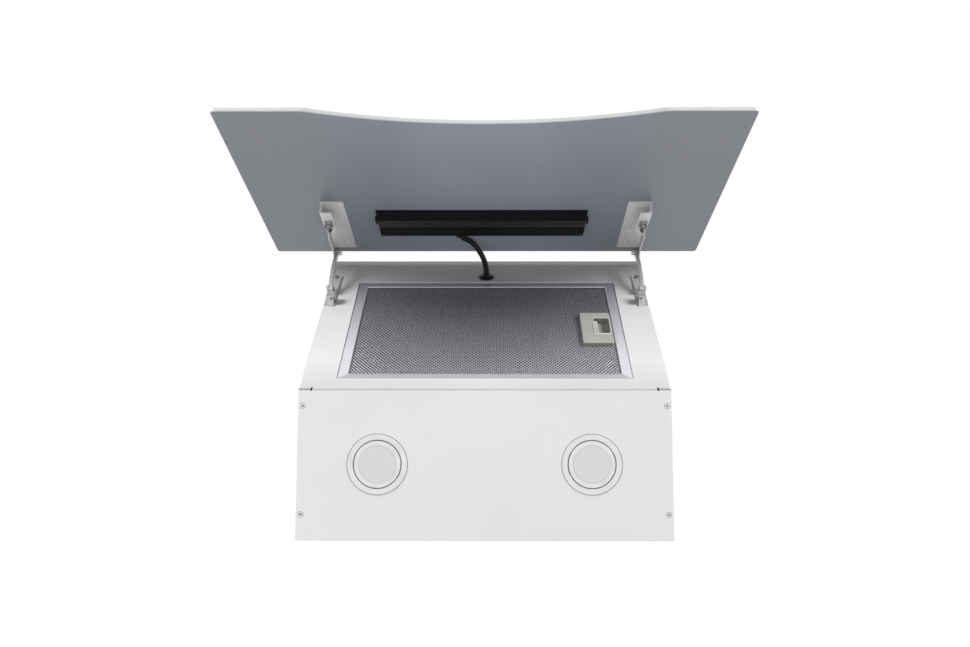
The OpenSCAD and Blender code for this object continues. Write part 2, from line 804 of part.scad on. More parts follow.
// Flange round the fan housing's outlet, screwed up against the top panel
module fan_flange() {
    outlet_l = outlet_back - outlet_front;
    color("lightgray")
        difference() {
            block(0, duct_y, scroll_top - scroll_wall,
                [scroll_w + 2 * scroll_flange, outlet_l + 2 * scroll_flange, scroll_wall]);
            block(0, duct_y + scroll_wall / 2, scroll_top - 2 * scroll_wall,
                [scroll_w - 2 * scroll_wall, outlet_l - scroll_wall, 4 * scroll_wall]);
        }
}

function blade_point(r, a) = r * [cos(a), sin(a)];

// One forward curved blade, from the inner radius of the wheel to just inside its rim
module blade() {
    sweep_angle = 9;
    n = 4;
    span = blade_len - 1;
    inner_r = wheel_r - blade_len;
    front = [for (k = [0:n]) blade_point(inner_r + span * k / n, sweep_angle * pow(k / n, 2))];
    back = [for (k = [n:-1:0]) blade_point(inner_r + span * k / n, sweep_angle * pow(k / n, 2) + 1)];
    polygon(concat(front, back));
}

module fan_wheel() {
    rim_w = 3;
    disc_t = 2;
    color("slategray")
        translate([0, fan_y, fan_z])
            difference() {
                union() {
                    for (k = [0:blades - 1])
                        rotate([360 * k / blades, 0, 0]) along_x(wheel_w) blade();
                    for (side = [-1, 1])
                        translate([side * (wheel_w - rim_w) / 2, 0, 0])
                            difference() {
                                rod_x(wheel_r, rim_w);
                                rod_x(wheel_r - blade_len * 0.6, 2 * rim_w);
                            }
                    rod_x(wheel_r - blade_len * 0.3, disc_t);
                    translate([-6, 0, 0]) rod_x(11, 14);
                }
                rod_x(shaft_r, wheel_w);
            }
}

module motor_shaft() {
    shaft_len = 13 + motor_x + motor_len - 8;
    color("silver")
        translate([shaft_len / 2 - 13, fan_y, fan_z])
            difference() {
                rod_x(shaft_r, shaft_len);
                block(-shaft_len / 2, 0, shaft_r - 0.8, [12, 2 * shaft_r, 2]);
            }
}

module motor() {
    cap_len = 8;
    color("darkgray")
        translate([motor_x, fan_y, fan_z])
            difference() {
                rotate([0, 90, 0]) {
                    translate([0, 0, cap_len]) cylinder(r = motor_r, h = motor_len - 2 * cap_len);
                    cylinder(r = motor_r - 4, h = motor_len);
                    for (k = [0:5])
                        rotate(60 * k) translate([motor_r - 8, 0, cap_len / 2]) cylinder(r = 3, h = motor_len - cap_len);
                }
                translate([motor_len / 2 - 7, 0, 0]) rod_x(shaft_r + shaft_play, motor_len);
            }
}

// Ring round the motor with three arms that are screwed to the fan housing
module motor_bracket() {
    ring_w = 5;
    arm_l = inlet_r + 8;
    x = scroll_w / 2;
    color("silver")
        translate([0, fan_y, fan_z])
            difference() {
                union() {
                    translate([x + 2 - ring_w / 2, 0, 0]) rod_x(motor_r + 3, ring_w);
                    for (a = [30, 150, 270])
                        rotate([a, 0, 0]) translate([x, 0, -7]) cube([2, arm_l, 14]);
                }
                rod_x(motor_r + 0.1, 3 * scroll_w);
            }
}

module capacitor() {
    color("ghostwhite")
        translate([capacitor_inset - half_w, -sheet - capacitor_r, terminal_z]) {
            cylinder(r = capacitor_r, h = capacitor_h);
            translate([0, 0, -4]) cylinder(r = capacitor_r - 4, h = 4);
        }
}

// Spigot for the duct, with a ledge that stops the flaps
module duct_collar() {
    rim_r = duct_r + 12;
    bore = duct_r - duct_wall;
    color("gray")
        translate([0, duct_y, body_h])
            difference() {
                union() {
                    rotate_extrude($fn = 96)
                        polygon([[bore, 0], [rim_r, 0], [rim_r, 1.5], [duct_r, 1.5], [duct_r, duct_h], [bore, duct_h]]);
                    translate([0, 0, flap_z - flap_t / 2 - 1.8])
                        difference() {
                            cylinder(r = bore + 0.2, h = 1.5);
                            translate([0, 0, -1]) cylinder(r = bore - 3.5, h = 4);
                        }
                }
                translate([0, 0, flap_z]) rod_x(flap_rod_r, 3 * duct_r);
            }
}

module flap_rod() {
    color("silver")
        translate([0, duct_y, flap_axis_z]) rod_x(flap_rod_r, 2 * duct_r - 1);
}

// Half round flap that turns on the rod; side 1 lies towards the wall
module flap(side, knuckle_x) {
    knuckle_w = 18;
    color("dimgray")
        translate([0, duct_y, flap_axis_z])
            difference() {
                union() {
                    intersection() {
                        translate([0, 0, -flap_t / 2]) cylinder(r = flap_r, h = flap_t);
                        block(0, side * (flap_edge + flap_r / 2), -flap_t, [2 * flap_r, flap_r, 2 * flap_t]);
                    }
                    for (x = [-knuckle_x, knuckle_x])
                        translate([x, 0, 0]) {
                            rod_x(knuckle_r, knuckle_w);
                            block(0, side * (knuckle_r + flap_edge) / 2, -flap_t / 2,
                                [knuckle_w, knuckle_r + flap_edge - 2 * flap_rod_r, flap_t]);
                        }
                }
                rod_x(flap_rod_r + 0.06, 3 * flap_r);
            }
}

// Junction box on the back panel, under the mains inlet
module terminal_box() {
    color("dimgray")
        translate([gland_x, -sheet - terminal_d / 2, terminal_z]) {
            round_plate(terminal_w, terminal_d, terminal_h, 4);
            translate([0, 0, terminal_h]) round_plate(terminal_w + 3, terminal_d, 3, 4);
        }
}

// Inlet for the mains lead, with a nut under the top panel
module mains_gland() {
    color("black")
        translate([gland_x, gland_y, body_h])
            difference() {
                union() {
                    translate([0, 0, -sheet - 8]) cylinder(r = gland_r, h = gland_h);
                    translate([0, 0, -sheet - 5]) cylinder(r = gland_r + 4, h = 5, $fn = 6);
                    cylinder(r = gland_r + 3.5, h = 5, $fn = 6);
                }
                cylinder(r = gland_bore, h = 4 * gland_h, center = true);
            }
}

module lamp_driver() {
    color("whitesmoke")
        translate([0, -sheet - driver_d / 2, driver_z]) {
            rotate([90, 0, 0]) translate([0, 0, -driver_d / 2]) round_plate(driver_w, driver_h, driver_d, 3);
            for (side = [-1, 1])
                block(side * (driver_w / 2 + 6), driver_d / 2 - 1.1, -driver_h / 6, [14, 2.2, driver_h / 3]);
        }
}

module grommet() {
    color("black")
        on_slope()
            translate([0, grommet_s, 0])
                rotate_extrude()
                    polygon([[cable_r + 0.15, -3.2], [grommet_r - 1.5, -3.2], [grommet_r - 0.5, -sheet],
                        [grommet_neck_r, -sheet], [grommet_neck_r, 0], [grommet_r, 0], [grommet_r, 1.2],
                        [grommet_r - 2, 2.4], [cable_r + 2, 3.4], [cable_r + 0.15, 3.4]]);
}

module cable() {
    color("black") tube_along(cable_route, cable_r, 10, [1, 0, 0.2]);
}

// Socket that the cable leaves the control box by
module box_gland() {
    color("black")
        on_glass()
            difference() {
                block(cable_x, box_start - gland_len / 2, 0, [12, gland_len, gland_box_h]);
                translate([cable_x, box_start, cable_h])
                    rotate([90, 0, 0]) cylinder(r = cable_r + 0.15, h = 4 * gland_len, center = true);
            }
}

// Plate on the slanted face with two ears that hold the foot of the arm
module hinge_base(side) {
    base_len = base_reach - base_top;
    base_s = pivot_s - (base_reach + base_top) / 2;
    color("silver")
        on_slope()
            difference() {
                union() {
                    translate([side * base_x, base_s, 0]) round_plate(base_w, base_len, base_t, 2);
                    for (e = [-1, 1])
                        translate([side * arm_x + e * (arm_t + ear_t + 0.2) / 2, foot_s, 0]) {
                            translate([0, 0, foot_n]) rod_x(ear_r, ear_t);
                            block(0, 0, base_t / 2, [ear_t, 2 * ear_r, foot_n - base_t / 2]);
                        }
                }
                translate([side * base_x, pivot_s - base_screw, -1]) cylinder(r = rivet_r + 0.1, h = base_t + 2);
                translate([side * arm_x, foot_s, foot_n]) rod_x(rivet_r, 3 * arm_t);
            }
}

// Centre line of the swan neck, from the rivet to the pivot
function neck(k) = let (rise = pivot_n - foot_n, run = foot_reach)
    [foot_s + run * k, foot_n + rise * sin(90 * pow(k, 0.7))];

module hinge_arm(side) {
    steps = 14;
    path = [for (i = [0:steps]) neck(i / steps)];
    dir = [for (i = [0:steps]) unit(path[min(i + 1, steps)] - path[max(i - 1, 0)])];
    upper = [for (i = [0:steps]) path[i] + arm_h / 2 * [-dir[i][1], dir[i][0]]];
    lower = [for (i = [steps:-1:0]) path[i] - arm_h / 2 * [-dir[i][1], dir[i][0]]];
    color("silver")
        on_slope()
            translate([side * arm_x, 0, 0])
                difference() {
                    union() {
                        along_x(arm_t) polygon(concat(upper, lower));
                        translate([0, pivot_s, pivot_n]) rod_x(arm_eye_r, arm_t);
                        translate([0, foot_s, foot_n]) rod_x(ear_r - 0.5, arm_t);
                    }
                    translate([0, pivot_s, pivot_n]) rod_x(pivot_r, 2 * arm_t);
                    translate([0, foot_s, foot_n]) rod_x(rivet_r, 2 * arm_t);
                }
}

// Pin held in the arm by its long inner end; the bracket of the glass turns on its outer end
module hinge_pin(side) {
    pin_len = arm_t + flange_gap + bracket_t + 0.3;
    color("gainsboro")
        on_slope()
            translate([side * arm_x, pivot_s, pivot_n]) {
                translate([side * (pin_len - arm_t) / 2, 0, 0]) rod_x(pivot_r, pin_len);
                translate([side * (pin_len - arm_t / 2 + pin_head_t / 2), 0, 0]) rod_x(pin_head_r, pin_head_t);
                translate([-side * (arm_t + pin_end_l) / 2, 0, 0]) rod_x(pin_end_r, pin_end_l);
            }
}

// Rivets through the arms' feet and the screws of the base plates
module hinge_fixings() {
    rivet_len = arm_t + 2 * ear_t + 0.2;
    color("gainsboro")
        on_slope()
            for (side = [-1, 1]) {
                translate([side * arm_x, foot_s, foot_n]) {
                    rod_x(rivet_r, rivet_len + 1);
                    for (e = [-1, 1]) translate([e * (rivet_len / 2 + 0.5), 0, 0]) rod_x(rivet_r + 1.2, 1);
                }
                translate([side * base_x, pivot_s - base_screw, 0]) {
                    translate([0, 0, -3]) cylinder(r = rivet_r, h = base_t + 3);
                    difference() {
                        translate([0, 0, base_t]) cylinder(r = screw_head_r, h = screw_head_h);
                        block(0, 0, base_t + 0.8, [4.4, 1, 2]);
                        block(0, 0, base_t + 0.8, [1, 4.4, 2]);
                    }
                }
            }
}

// Block on the base plate with a socket in its lower face for the plunger
module catch_keeper(side) {
    color("gainsboro")
        on_slope()
            difference() {
                translate([side * keeper_x, keeper_start + keeper_len / 2, base_t])
                    round_plate(keeper_w, keeper_len, keeper_top - base_t, 1.5);
                translate([side * catch_x, keeper_start, catch_n])
                    rotate([90, 0, 0]) cylinder(r = plunger_r + 0.4, h = 8, center = true);
                block(side * keeper_x, keeper_start + keeper_len * 0.4, keeper_top - 1, [2 * keeper_w, 1.4, 2]);
            }
}

// Turned barrel with a plunger at its near end, on a foot that two screws hold to the bracket's tab
module catch_barrel(side) {
    tip = catch_len + plunger_len;
    foot_t = 1.2;
    foot_l = catch_len + 9;
    foot_z = tab_h + bracket_t;
    color("dimgray")
        on_glass() {
            translate([side * catch_x, catch_end, catch_h])
                rotate([90, 0, 0])
                    rotate_extrude($fn = 48)
                        polygon([[0, 0.2], [1.4, 0.2], [1.4, 1], [3.1, 1], [3.1, 0], [catch_r - 0.5, 0],
                            [catch_r, 0.5], [catch_r, catch_len], [plunger_r, catch_len],
                            [plunger_r, tip - 1.2], [plunger_r - 1, tip], [0, tip]]);
            block(side * (catch_x - 1), catch_end - catch_len + foot_l / 2, foot_z, [2 * catch_r + 2, foot_l, foot_t]);
            for (k = [-1, 1])
                translate([side * (catch_x - 1) + 3.6 * k, catch_end + 5.5, foot_z + foot_t]) cylinder(r = 1.3, h = 0.8);
        }
}

// Mirrors an outline to the given side of the body
function sided(side, p) = side > 0 ? p : [for (i = [len(p) - 1:-1:0]) [-p[i][0], p[i][1]]];

// Outer edge of the bracket seen from above, drawn in by t: set out past the arm, then set back
function bracket_edge(t) = let (near_x = flange_x + bracket_t - t, far_x = far_flange_x + bracket_t - t)
    [[near_x, pivot_inset - 4], [near_x, step_start], [far_x, step_end], [far_x, bracket_end]];

// Sheet bracket bonded to the back of the glass: plate, stepped flange with the pivot's eye, and tab
module glass_bracket(side) {
    inner_x = far_flange_x + bracket_t - bracket_w;
    plate = [[inner_x, bracket_start], [flange_x + bracket_t, bracket_start], [flange_x + bracket_t, step_start],
        [far_flange_x + bracket_t, step_end], [far_flange_x + bracket_t, bracket_end], [inner_x, bracket_end]];
    inner_edge = bracket_edge(bracket_t);
    flange = concat(bracket_edge(0), [for (i = [3:-1:0]) inner_edge[i]]);
    color("silver")
        on_glass()
            difference() {
                union() {
                    linear_extrude(height = bracket_t) polygon(sided(side, plate));
                    intersection() {
                        linear_extrude(height = tab_h + bracket_t) polygon(sided(side, flange));
                        along_x(2 * body_w) flange_outline();
                    }
                    translate([side * (flange_x + bracket_t / 2), pivot_inset, pivot_h]) rod_x(arm_eye_r, bracket_t);
                    block(side * (far_flange_x + bracket_t - tab_w / 2), (tab_start + tab_end) / 2, tab_h,
                        [tab_w, tab_end - tab_start, bracket_t]);
                }
                translate([side * (flange_x + bracket_t / 2), pivot_inset, pivot_h])
                    rod_x(pivot_r + pivot_play, 3 * bracket_t);
                for (hole = bracket_holes)
                    translate([side * (inner_x + hole[0]), hole[1], -1]) cylinder(r = hole[2], h = 2 * bracket_t + 1);
            }
}

// Side outline of the flange: low beside the arm, full height under the tab
module flange_outline() {
    top = tab_h + bracket_t;
    polygon([[pivot_inset - 4, 0], [bracket_end, 0], [bracket_end, top - 2], [bracket_end - 2, top], [tab_start, top],
        [tab_start - 10, flange_low], [bracket_start + 6, flange_low], [pivot_inset, pivot_h + 5],
        [pivot_inset - 4, pivot_h]]);
}

// Toughened glass with a shallow hollow in its free edge
module glass_panel() {
    wave_r = (wave_half * wave_half + wave_depth * wave_depth) / (2 * wave_depth);
    color("slategray")
        on_glass()
            translate([0, glass_len / 2, -glass_t])
                difference() {
                    round_plate(glass_w, glass_len, glass_t, glass_corner_r);
                    translate([0, glass_len / 2 - wave_depth + wave_r, -1])
                        cylinder(r = wave_r, h = glass_t + 2, $fn = 360);
                }
}

// Side outline of the control box, drawn in by t
function box_outline(t) = [[box_start + t, t], [box_start + box_len - t, t],
    [box_start + box_len - t, box_h - t], [box_start + box_len * 0.69, box_h - t], [box_start + t, box_nose - t]];

// Body of the control box with slanted ends, drawn in by t
module box_body(t) {
    half = box_w / 2 - t;
    intersection() {
        along_x(box_w) polygon(box_outline(t));
        translate([0, box_start + box_len, 0])
            rotate([90, 0, 0])
                linear_extrude(height = box_len)
                    polygon([[-half, 0], [half, 0], [half - box_draft, box_h], [-half + box_draft, box_h]]);
    }
}

// Box between its two end caps, hollow, with a hole for the cable
module control_box() {
    color([0.1, 0.1, 0.11])
        on_glass()
            translate([box_x, 0, 0])
                difference() {
                    intersection() {
                        box_body(0);
                        block(0, box_start + box_len / 2, 0, [box_w - 2 * cap_w, 2 * box_len, box_h]);
                    }
                    intersection() {
                        box_body(box_wall);
                        block(0, box_start + box_len / 2, 0, [box_w - 2 * cap_w - 2 * box_wall, 2 * box_len, box_h]);
                    }
                    translate([cable_x - box_x, box_start, cable_h])
                        rotate([90, 0, 0]) cylinder(r = cable_r + 0.15, h = 4 * box_wall, center = true);
                }
}

// Slanted end caps, each with a clip that hooks over the box's edge
module control_box_caps() {
    color([0.13, 0.13, 0.14])
        on_glass()
            for (side = [-1, 1])
                translate([box_x, 0, 0]) {
                    intersection() {
                        box_body(0);
                        block(side * (box_w - cap_w) / 2, box_start + box_len / 2, 0, [cap_w, 2 * box_len, box_h]);
                    }
                    block(side * (box_w / 2 + 0.2), box_start + box_len * 0.62, 0, [3, 13, 6]);
                    block(side * (box_w / 2 - 6), box_start + 14, box_h * 0.6, [4, 9, 3]);
                }
}

module control_board() {
    color("darkgreen")
        on_glass()
            block(box_x, box_start + box_len / 2 + 4, box_wall + 1, [box_w - 2 * board_inset, box_len - 2 * board_inset, 1.6]);
}

echo(least_gap_of_latch_spring = least_gap(spring_route, spring_wire_r, 6));

placed() side_panel(-1);  // side_left
placed() side_panel(1);  // side_right
placed() face_panel();
placed() back_panel();
placed() top_panel();
placed() light_plate();
placed() light_plate_screws();
placed() lamp_bezel(-1);  // lamp_bezel_left
placed() lamp_bezel(1);  // lamp_bezel_right
placed() lamp_lens(-1);  // lamp_lens_left
placed() lamp_lens(1);  // lamp_lens_right
placed() lamp_board(-1);  // lamp_board_left
placed() lamp_board(1);  // lamp_board_right
placed() lamp_can(-1);  // lamp_can_left
placed() lamp_can(1);  // lamp_can_right
placed() filter_frame();
placed() filter_mesh();
placed() filter_core();
placed() filter_back_mesh();
placed() filter_tabs();
placed() filter_handle();
placed() filter_latch();
placed() latch_spring();
placed() fan_scroll();
placed() fan_side(-1);  // fan_side_left
placed() fan_side(1);  // fan_side_right
placed() fan_flange();
placed() fan_wheel();
placed() motor_shaft();
placed() motor();
placed() motor_bracket();
placed() capacitor();
placed() duct_collar();
placed() flap_rod();
placed() flap(-1, front_knuckle_x);  // flap_front
placed() flap(1, back_knuckle_x);  // flap_back
placed() terminal_box();
placed() mains_gland();
placed() lamp_driver();
placed() grommet();
placed() cable();
placed() box_gland();
placed() hinge_base(-1);  // hinge_base_left
placed() hinge_base(1);  // hinge_base_right
placed() hinge_arm(-1);  // hinge_arm_left
placed() hinge_arm(1);  // hinge_arm_right
placed() hinge_pin(-1);  // hinge_pin_left
placed() hinge_pin(1);  // hinge_pin_right
placed() hinge_fixings();
placed() catch_keeper(-1);  // catch_keeper_left
placed() catch_keeper(1);  // catch_keeper_right
placed() catch_barrel(-1);  // catch_barrel_left
placed() catch_barrel(1);  // catch_barrel_right
placed() glass_bracket(-1);  // glass_bracket_left
placed() glass_bracket(1);  // glass_bracket_right
placed() glass_panel();
placed() control_box();
placed() control_box_caps();
placed() control_board();
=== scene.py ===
"""Looks of an inclined wall hood whose glass front stands open.

Finishes with painted shade and highlights, glass, filter mesh, painted gap shadows and cable, then light and
camera.
"""

import math

import bpy
from mathutils import Matrix, Vector


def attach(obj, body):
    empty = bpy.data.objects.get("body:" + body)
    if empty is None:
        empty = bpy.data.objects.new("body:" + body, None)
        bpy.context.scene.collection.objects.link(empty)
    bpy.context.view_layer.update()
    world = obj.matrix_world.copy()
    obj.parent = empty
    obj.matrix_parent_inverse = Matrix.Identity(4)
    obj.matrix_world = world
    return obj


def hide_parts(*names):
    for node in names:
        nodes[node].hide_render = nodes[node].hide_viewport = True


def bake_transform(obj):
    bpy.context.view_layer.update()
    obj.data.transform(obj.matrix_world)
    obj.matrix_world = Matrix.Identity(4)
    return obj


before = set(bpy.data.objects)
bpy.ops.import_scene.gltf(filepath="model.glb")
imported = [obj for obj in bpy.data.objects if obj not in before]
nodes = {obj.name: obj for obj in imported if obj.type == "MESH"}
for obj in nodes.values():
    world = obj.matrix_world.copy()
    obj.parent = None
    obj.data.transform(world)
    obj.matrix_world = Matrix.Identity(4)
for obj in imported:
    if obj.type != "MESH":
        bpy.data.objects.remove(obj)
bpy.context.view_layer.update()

# Sizes shared with the solids, in metres
MM = 0.001
HANG = 150 * MM
PLATE_DEPTH = 175 * MM
SLOPE = math.radians(55)
OPEN = math.radians(45)
PIVOT_S = 341 * MM
PIVOT_N = 24 * MM
PIVOT_U = 8 * MM
PIVOT_H = 6 * MM
GLASS_W = 600 * MM
GLASS_L = 421.5 * MM
GLASS_T = 5 * MM
GLASS_CORNER = 5 * MM
WAVE_HALF = 199 * MM
WAVE_DEPTH = 30 * MM
FILTER_W = 355 * MM
FILTER_L = 267 * MM
FILTER_S = 27 * MM
FRAME_W = 12.7 * MM
MESH_N = -2.4 * MM
HANDLE_W = 39 * MM
HANDLE_L = 84 * MM
HANDLE_X = 143.5 * MM
HANDLE_S = 154 * MM
HANDLE_TOP = 2 * MM
RECESS_X = 150.55 * MM
RECESS_S = 159.3 * MM
RECESS_W = 21.5 * MM
RECESS_L = 44 * MM
RECESS_R = 4 * MM
CABLE_D = 7.5 * MM
BRACKET_INNER = 184.1 * MM
BRACKET_T = 1.5 * MM
BODY_HALF = 219 * MM
NOTCH_INSET = 15 * MM
SCREW_X = 213.6 * MM
LAMP_X = 125.2 * MM
LAMP_Y = 88 * MM
LAMP_PROUD = 0.3 * MM
BOX_H = 15.5 * MM
CATCH_X = 207.7 * MM
CATCH_H = 20 * MM
CATCH_END = 143 * MM

# Sizes of what only this scene draws
MESH_PITCH_X = 4.7 * MM
MESH_PITCH_S = 6.4 * MM
MESH_LAYER = 2.2 * MM
RIM_R = 0.8 * MM
LIP_LOW = -5.9 * MM
LIP_TOP = -0.55 * MM
LIP_W = 6 * MM
LIP_L = 35.6 * MM
LAMP_SHADOW_IN = 35.0 * MM
LAMP_SHADOW_OUT = 35.6 * MM
LAMP_RIM_OUT = 37.3 * MM
STRIP_PROUD = 0.05 * MM
STRIP_DEPTH = 0.3 * MM

# Limits that tell apart the faces with a second colour; on the latch, screws and control box it is painted
# shade or painted highlight
LATCH_STEP = -4 * MM
SCREW_REACH = 4 * MM
BOX_FLANK = 6 * MM
CATCH_FOOT = 17.5 * MM
CATCH_TIP_R = 1.4 * MM
CATCH_RING_IN = 3 * MM
CATCH_RING_OUT = 5 * MM
SKIN = 0.4 * MM

# Holes of a bracket in millimetres: distance from its inner edge, distance down the glass, radius
BRACKET_HOLES = [(11.2, 80, 1.5), (8.2, 80.8, 1.0), (19.9, 51.3, 1.5), (9.4, 42.2, 1.4), (9.4, 39.4, 1.4)]


def on_slope(x, s, n):
    """A point of the slanted face: x, distance up the slope, height off the face."""
    y = -PLATE_DEPTH - s * math.cos(SLOPE) - n * math.sin(SLOPE)
    z = s * math.sin(SLOPE) - n * math.cos(SLOPE) - HANG
    return Vector((x, y, z))


def on_glass(x, u, h):
    """A point of the open glass: x, distance from its upper edge, height off its back."""
    pivot = on_slope(0, PIVOT_S, PIVOT_N)
    turn = Matrix.Rotation(-SLOPE - OPEN, 3, "X")
    return pivot + turn @ Vector((x, u - PIVOT_U, h - PIVOT_H))


# Camera
def make_camera():
    place = Vector((0.011945, -0.073405, -1.349770 - HANG))
    ahead = Vector((-0.00855391, -0.13232638, 0.99116929)).normalized()
    up = Vector((-0.00017952, -0.99119896, -0.13235346)).normalized()
    right = ahead.cross(up).normalized()
    up = right.cross(ahead)
    data = bpy.data.cameras.new("camera")
    data.sensor_width = 36
    data.lens = 42.68
    data.clip_start = 0.01
    camera = bpy.data.objects.new("camera", data)
    camera.matrix_world = Matrix((
        (right.x, up.x, -ahead.x, place.x),
        (right.y, up.y, -ahead.y, place.y),
        (right.z, up.z, -ahead.z, place.z),
        (0, 0, 0, 1)))
    bpy.context.scene.collection.objects.link(camera)
    bpy.context.scene.camera = camera


make_camera()


# Materials
def principled(name, color, rough, metal=0.0, specular=0.5):
    """A new material and its tree with one Principled shader."""
    mat = bpy.data.materials.new(name)
    mat.use_nodes = True
    shader = mat.node_tree.nodes["Principled BSDF"]
    shader.inputs["Base Color"].default_value = (*color, 1)
    shader.inputs["Roughness"].default_value = rough
    shader.inputs["Metallic"].default_value = metal
    shader.inputs["Specular IOR Level"].default_value = specular
    return mat, mat.node_tree, shader


def noise(tree, scale, stretch=(1, 1, 1), detail=4.0):
    """Noise in the object's own metres, drawn out where stretch is small."""
    coords = tree.nodes.new("ShaderNodeTexCoord")
    mapping = tree.nodes.new("ShaderNodeMapping")
    mapping.inputs["Scale"].default_value = stretch
    texture = tree.nodes.new("ShaderNodeTexNoise")
    texture.inputs["Scale"].default_value = scale
    texture.inputs["Detail"].default_value = detail
    tree.links.new(coords.outputs["Object"], mapping.inputs["Vector"])
    tree.links.new(mapping.outputs["Vector"], texture.inputs["Vector"])
    return texture.outputs["Fac"]


def spread(tree, value, low, high):
    """Maps noise from its usual span to low and high."""
    remap = tree.nodes.new("ShaderNodeMapRange")
    remap.inputs["From Min"].default_value = 0.3
    remap.inputs["From Max"].default_value = 0.7
    remap.inputs["To Min"].default_value = low
    remap.inputs["To Max"].default_value = high
    tree.links.new(value, remap.inputs["Value"])
    return remap.outputs["Result"]


def vary_color(tree, shader, value, color, amount):
    """Lightens and darkens a colour by a share, following a value."""
    mix = tree.nodes.new("ShaderNodeMix")
    mix.data_type = "RGBA"
    mix.inputs["A"].default_value = (*[c * (1 - amount) for c in color], 1)
    mix.inputs["B"].default_value = (*[min(1, c * (1 + amount)) for c in color], 1)
    tree.links.new(spread(tree, value, 0, 1), mix.inputs["Factor"])
    tree.links.new(mix.outputs["Result"], shader.inputs["Base Color"])


def add_bump(tree, shader, value, strength, height):
    """Raises a surface by a value, up to a height in metres."""
    bump = tree.nodes.new("ShaderNodeBump")
    bump.inputs["Strength"].default_value = strength
    bump.inputs["Distance"].default_value = height
    tree.links.new(value, bump.inputs["Height"])
    tree.links.new(bump.outputs["Normal"], shader.inputs["Normal"])


def enamel(name, color, rough=0.3, specular=0.35):
    """Powder coated sheet: faint clouding and a fine orange peel."""
    mat, tree, shader = principled(name, color, rough, specular=specular)
    vary_color(tree, shader, noise(tree, 9), color, 0.012)
    tree.links.new(spread(tree, noise(tree, 250), rough - 0.03, rough + 0.04), shader.inputs["Roughness"])
    add_bump(tree, shader, noise(tree, 900, detail=1), 0.12, 0.00006)
    return mat


def satin_metal(name, color, rough, grain=(0.04, 1, 1), depth=0.1, amount=0.08, metal=1.0, patch=120):
    """Rolled or brushed metal: grain along the drawn out axis, sheen varied as finely as patch says."""
    mat, tree, shader = principled(name, color, rough, metal=metal)
    lines = noise(tree, 1400, grain, 5)
    vary_color(tree, shader, lines, color, amount)
    tree.links.new(spread(tree, noise(tree, patch), rough - 0.06, rough + 0.08), shader.inputs["Roughness"])
    add_bump(tree, shader, lines, depth, 0.00008)
    return mat


def moulded(name, color, rough, grain=1500, depth=0.15, specular=0.4):
    """Moulded plastic or rubber with a fine spark eroded grain."""
    mat, tree, shader = principled(name, color, rough, specular=specular)
    vary_color(tree, shader, noise(tree, 60), color, 0.05)
    tree.links.new(spread(tree, noise(tree, 200), rough - 0.05, rough + 0.05), shader.inputs["Roughness"])
    add_bump(tree, shader, noise(tree, grain, detail=2), depth, 0.00008)
    return mat


def grade(mat, span, low, high, axis="Z"):
    """Tints a finish from low to high over a span of one axis, and over X to both sides of the middle."""
    tree = mat.node_tree
    shader = tree.nodes["Principled BSDF"]
    coords = tree.nodes.new("ShaderNodeTexCoord")
    parts = tree.nodes.new("ShaderNodeSeparateXYZ")
    tree.links.new(coords.outputs["Object"], parts.inputs["Vector"])
    along = parts.outputs[axis]
    if axis == "X":
        size = tree.nodes.new("ShaderNodeMath")
        size.operation = "ABSOLUTE"
        tree.links.new(along, size.inputs[0])
        along = size.outputs["Value"]
    remap = tree.nodes.new("ShaderNodeMapRange")
    remap.inputs["From Min"].default_value = span[0]
    remap.inputs["From Max"].default_value = span[1]
    tint = tree.nodes.new("ShaderNodeMix")
    tint.data_type = "RGBA"
    tint.inputs["A"].default_value = (*low, 1)
    tint.inputs["B"].default_value = (*high, 1)
    both = tree.nodes.new("ShaderNodeMix")
    both.data_type = "RGBA"
    both.blend_type = "MULTIPLY"
    both.inputs["Factor"].default_value = 1
    tree.links.new(along, remap.inputs["Value"])
    tree.links.new(remap.outputs["Result"], tint.inputs["Factor"])
    tree.links.new(shader.inputs["Base Color"].links[0].from_socket, both.inputs["A"])
    tree.links.new(tint.outputs["Result"], both.inputs["B"])
    tree.links.new(both.outputs["Result"], shader.inputs["Base Color"])


def frosted():
    """Diffuser of a lamp: pressed with a fine honeycomb of lenses."""
    color = (0.68, 0.69, 0.695)
    mat, tree, shader = principled("frosted_diffuser", color, 0.45, specular=0.4)
    coords = tree.nodes.new("ShaderNodeTexCoord")
    cells = tree.nodes.new("ShaderNodeTexVoronoi")
    cells.inputs["Scale"].default_value = 600
    cells.inputs["Randomness"].default_value = 0.15
    tree.links.new(coords.outputs["Object"], cells.inputs["Vector"])
    vary_color(tree, shader, noise(tree, 500), color, 0.03)
    add_bump(tree, shader, cells.outputs["Distance"], 0.35, 0.0003)
    return mat


def circuit(name, color):
    """Lacquered board with faint tracks."""
    mat, tree, shader = principled(name, color, 0.35)
    brick = tree.nodes.new("ShaderNodeTexBrick")
    coords = tree.nodes.new("ShaderNodeTexCoord")
    brick.inputs["Scale"].default_value = 90
    brick.inputs["Color1"].default_value = (*color, 1)
    brick.inputs["Color2"].default_value = (*[c * 0.8 for c in color], 1)
    brick.inputs["Mortar"].default_value = (*[min(1, c * 1.6) for c in color], 1)
    tree.links.new(coords.outputs["Object"], brick.inputs["Vector"])
    tree.links.new(brick.outputs["Color"], shader.inputs["Base Color"])
    return mat


def rail_metal(name, color, metal=0.5):
    """Plain anodised aluminium of the filter's frame, and its lighter and darker copies for painted highlight
    and painted shade.
    """
    return satin_metal(name, color, 0.4, depth=0.05, amount=0.03, metal=metal)


def grey(value):
    return (value, value, value)


FULL = grey(1.0)
DRAWN = (1, 0.05, 0.05)

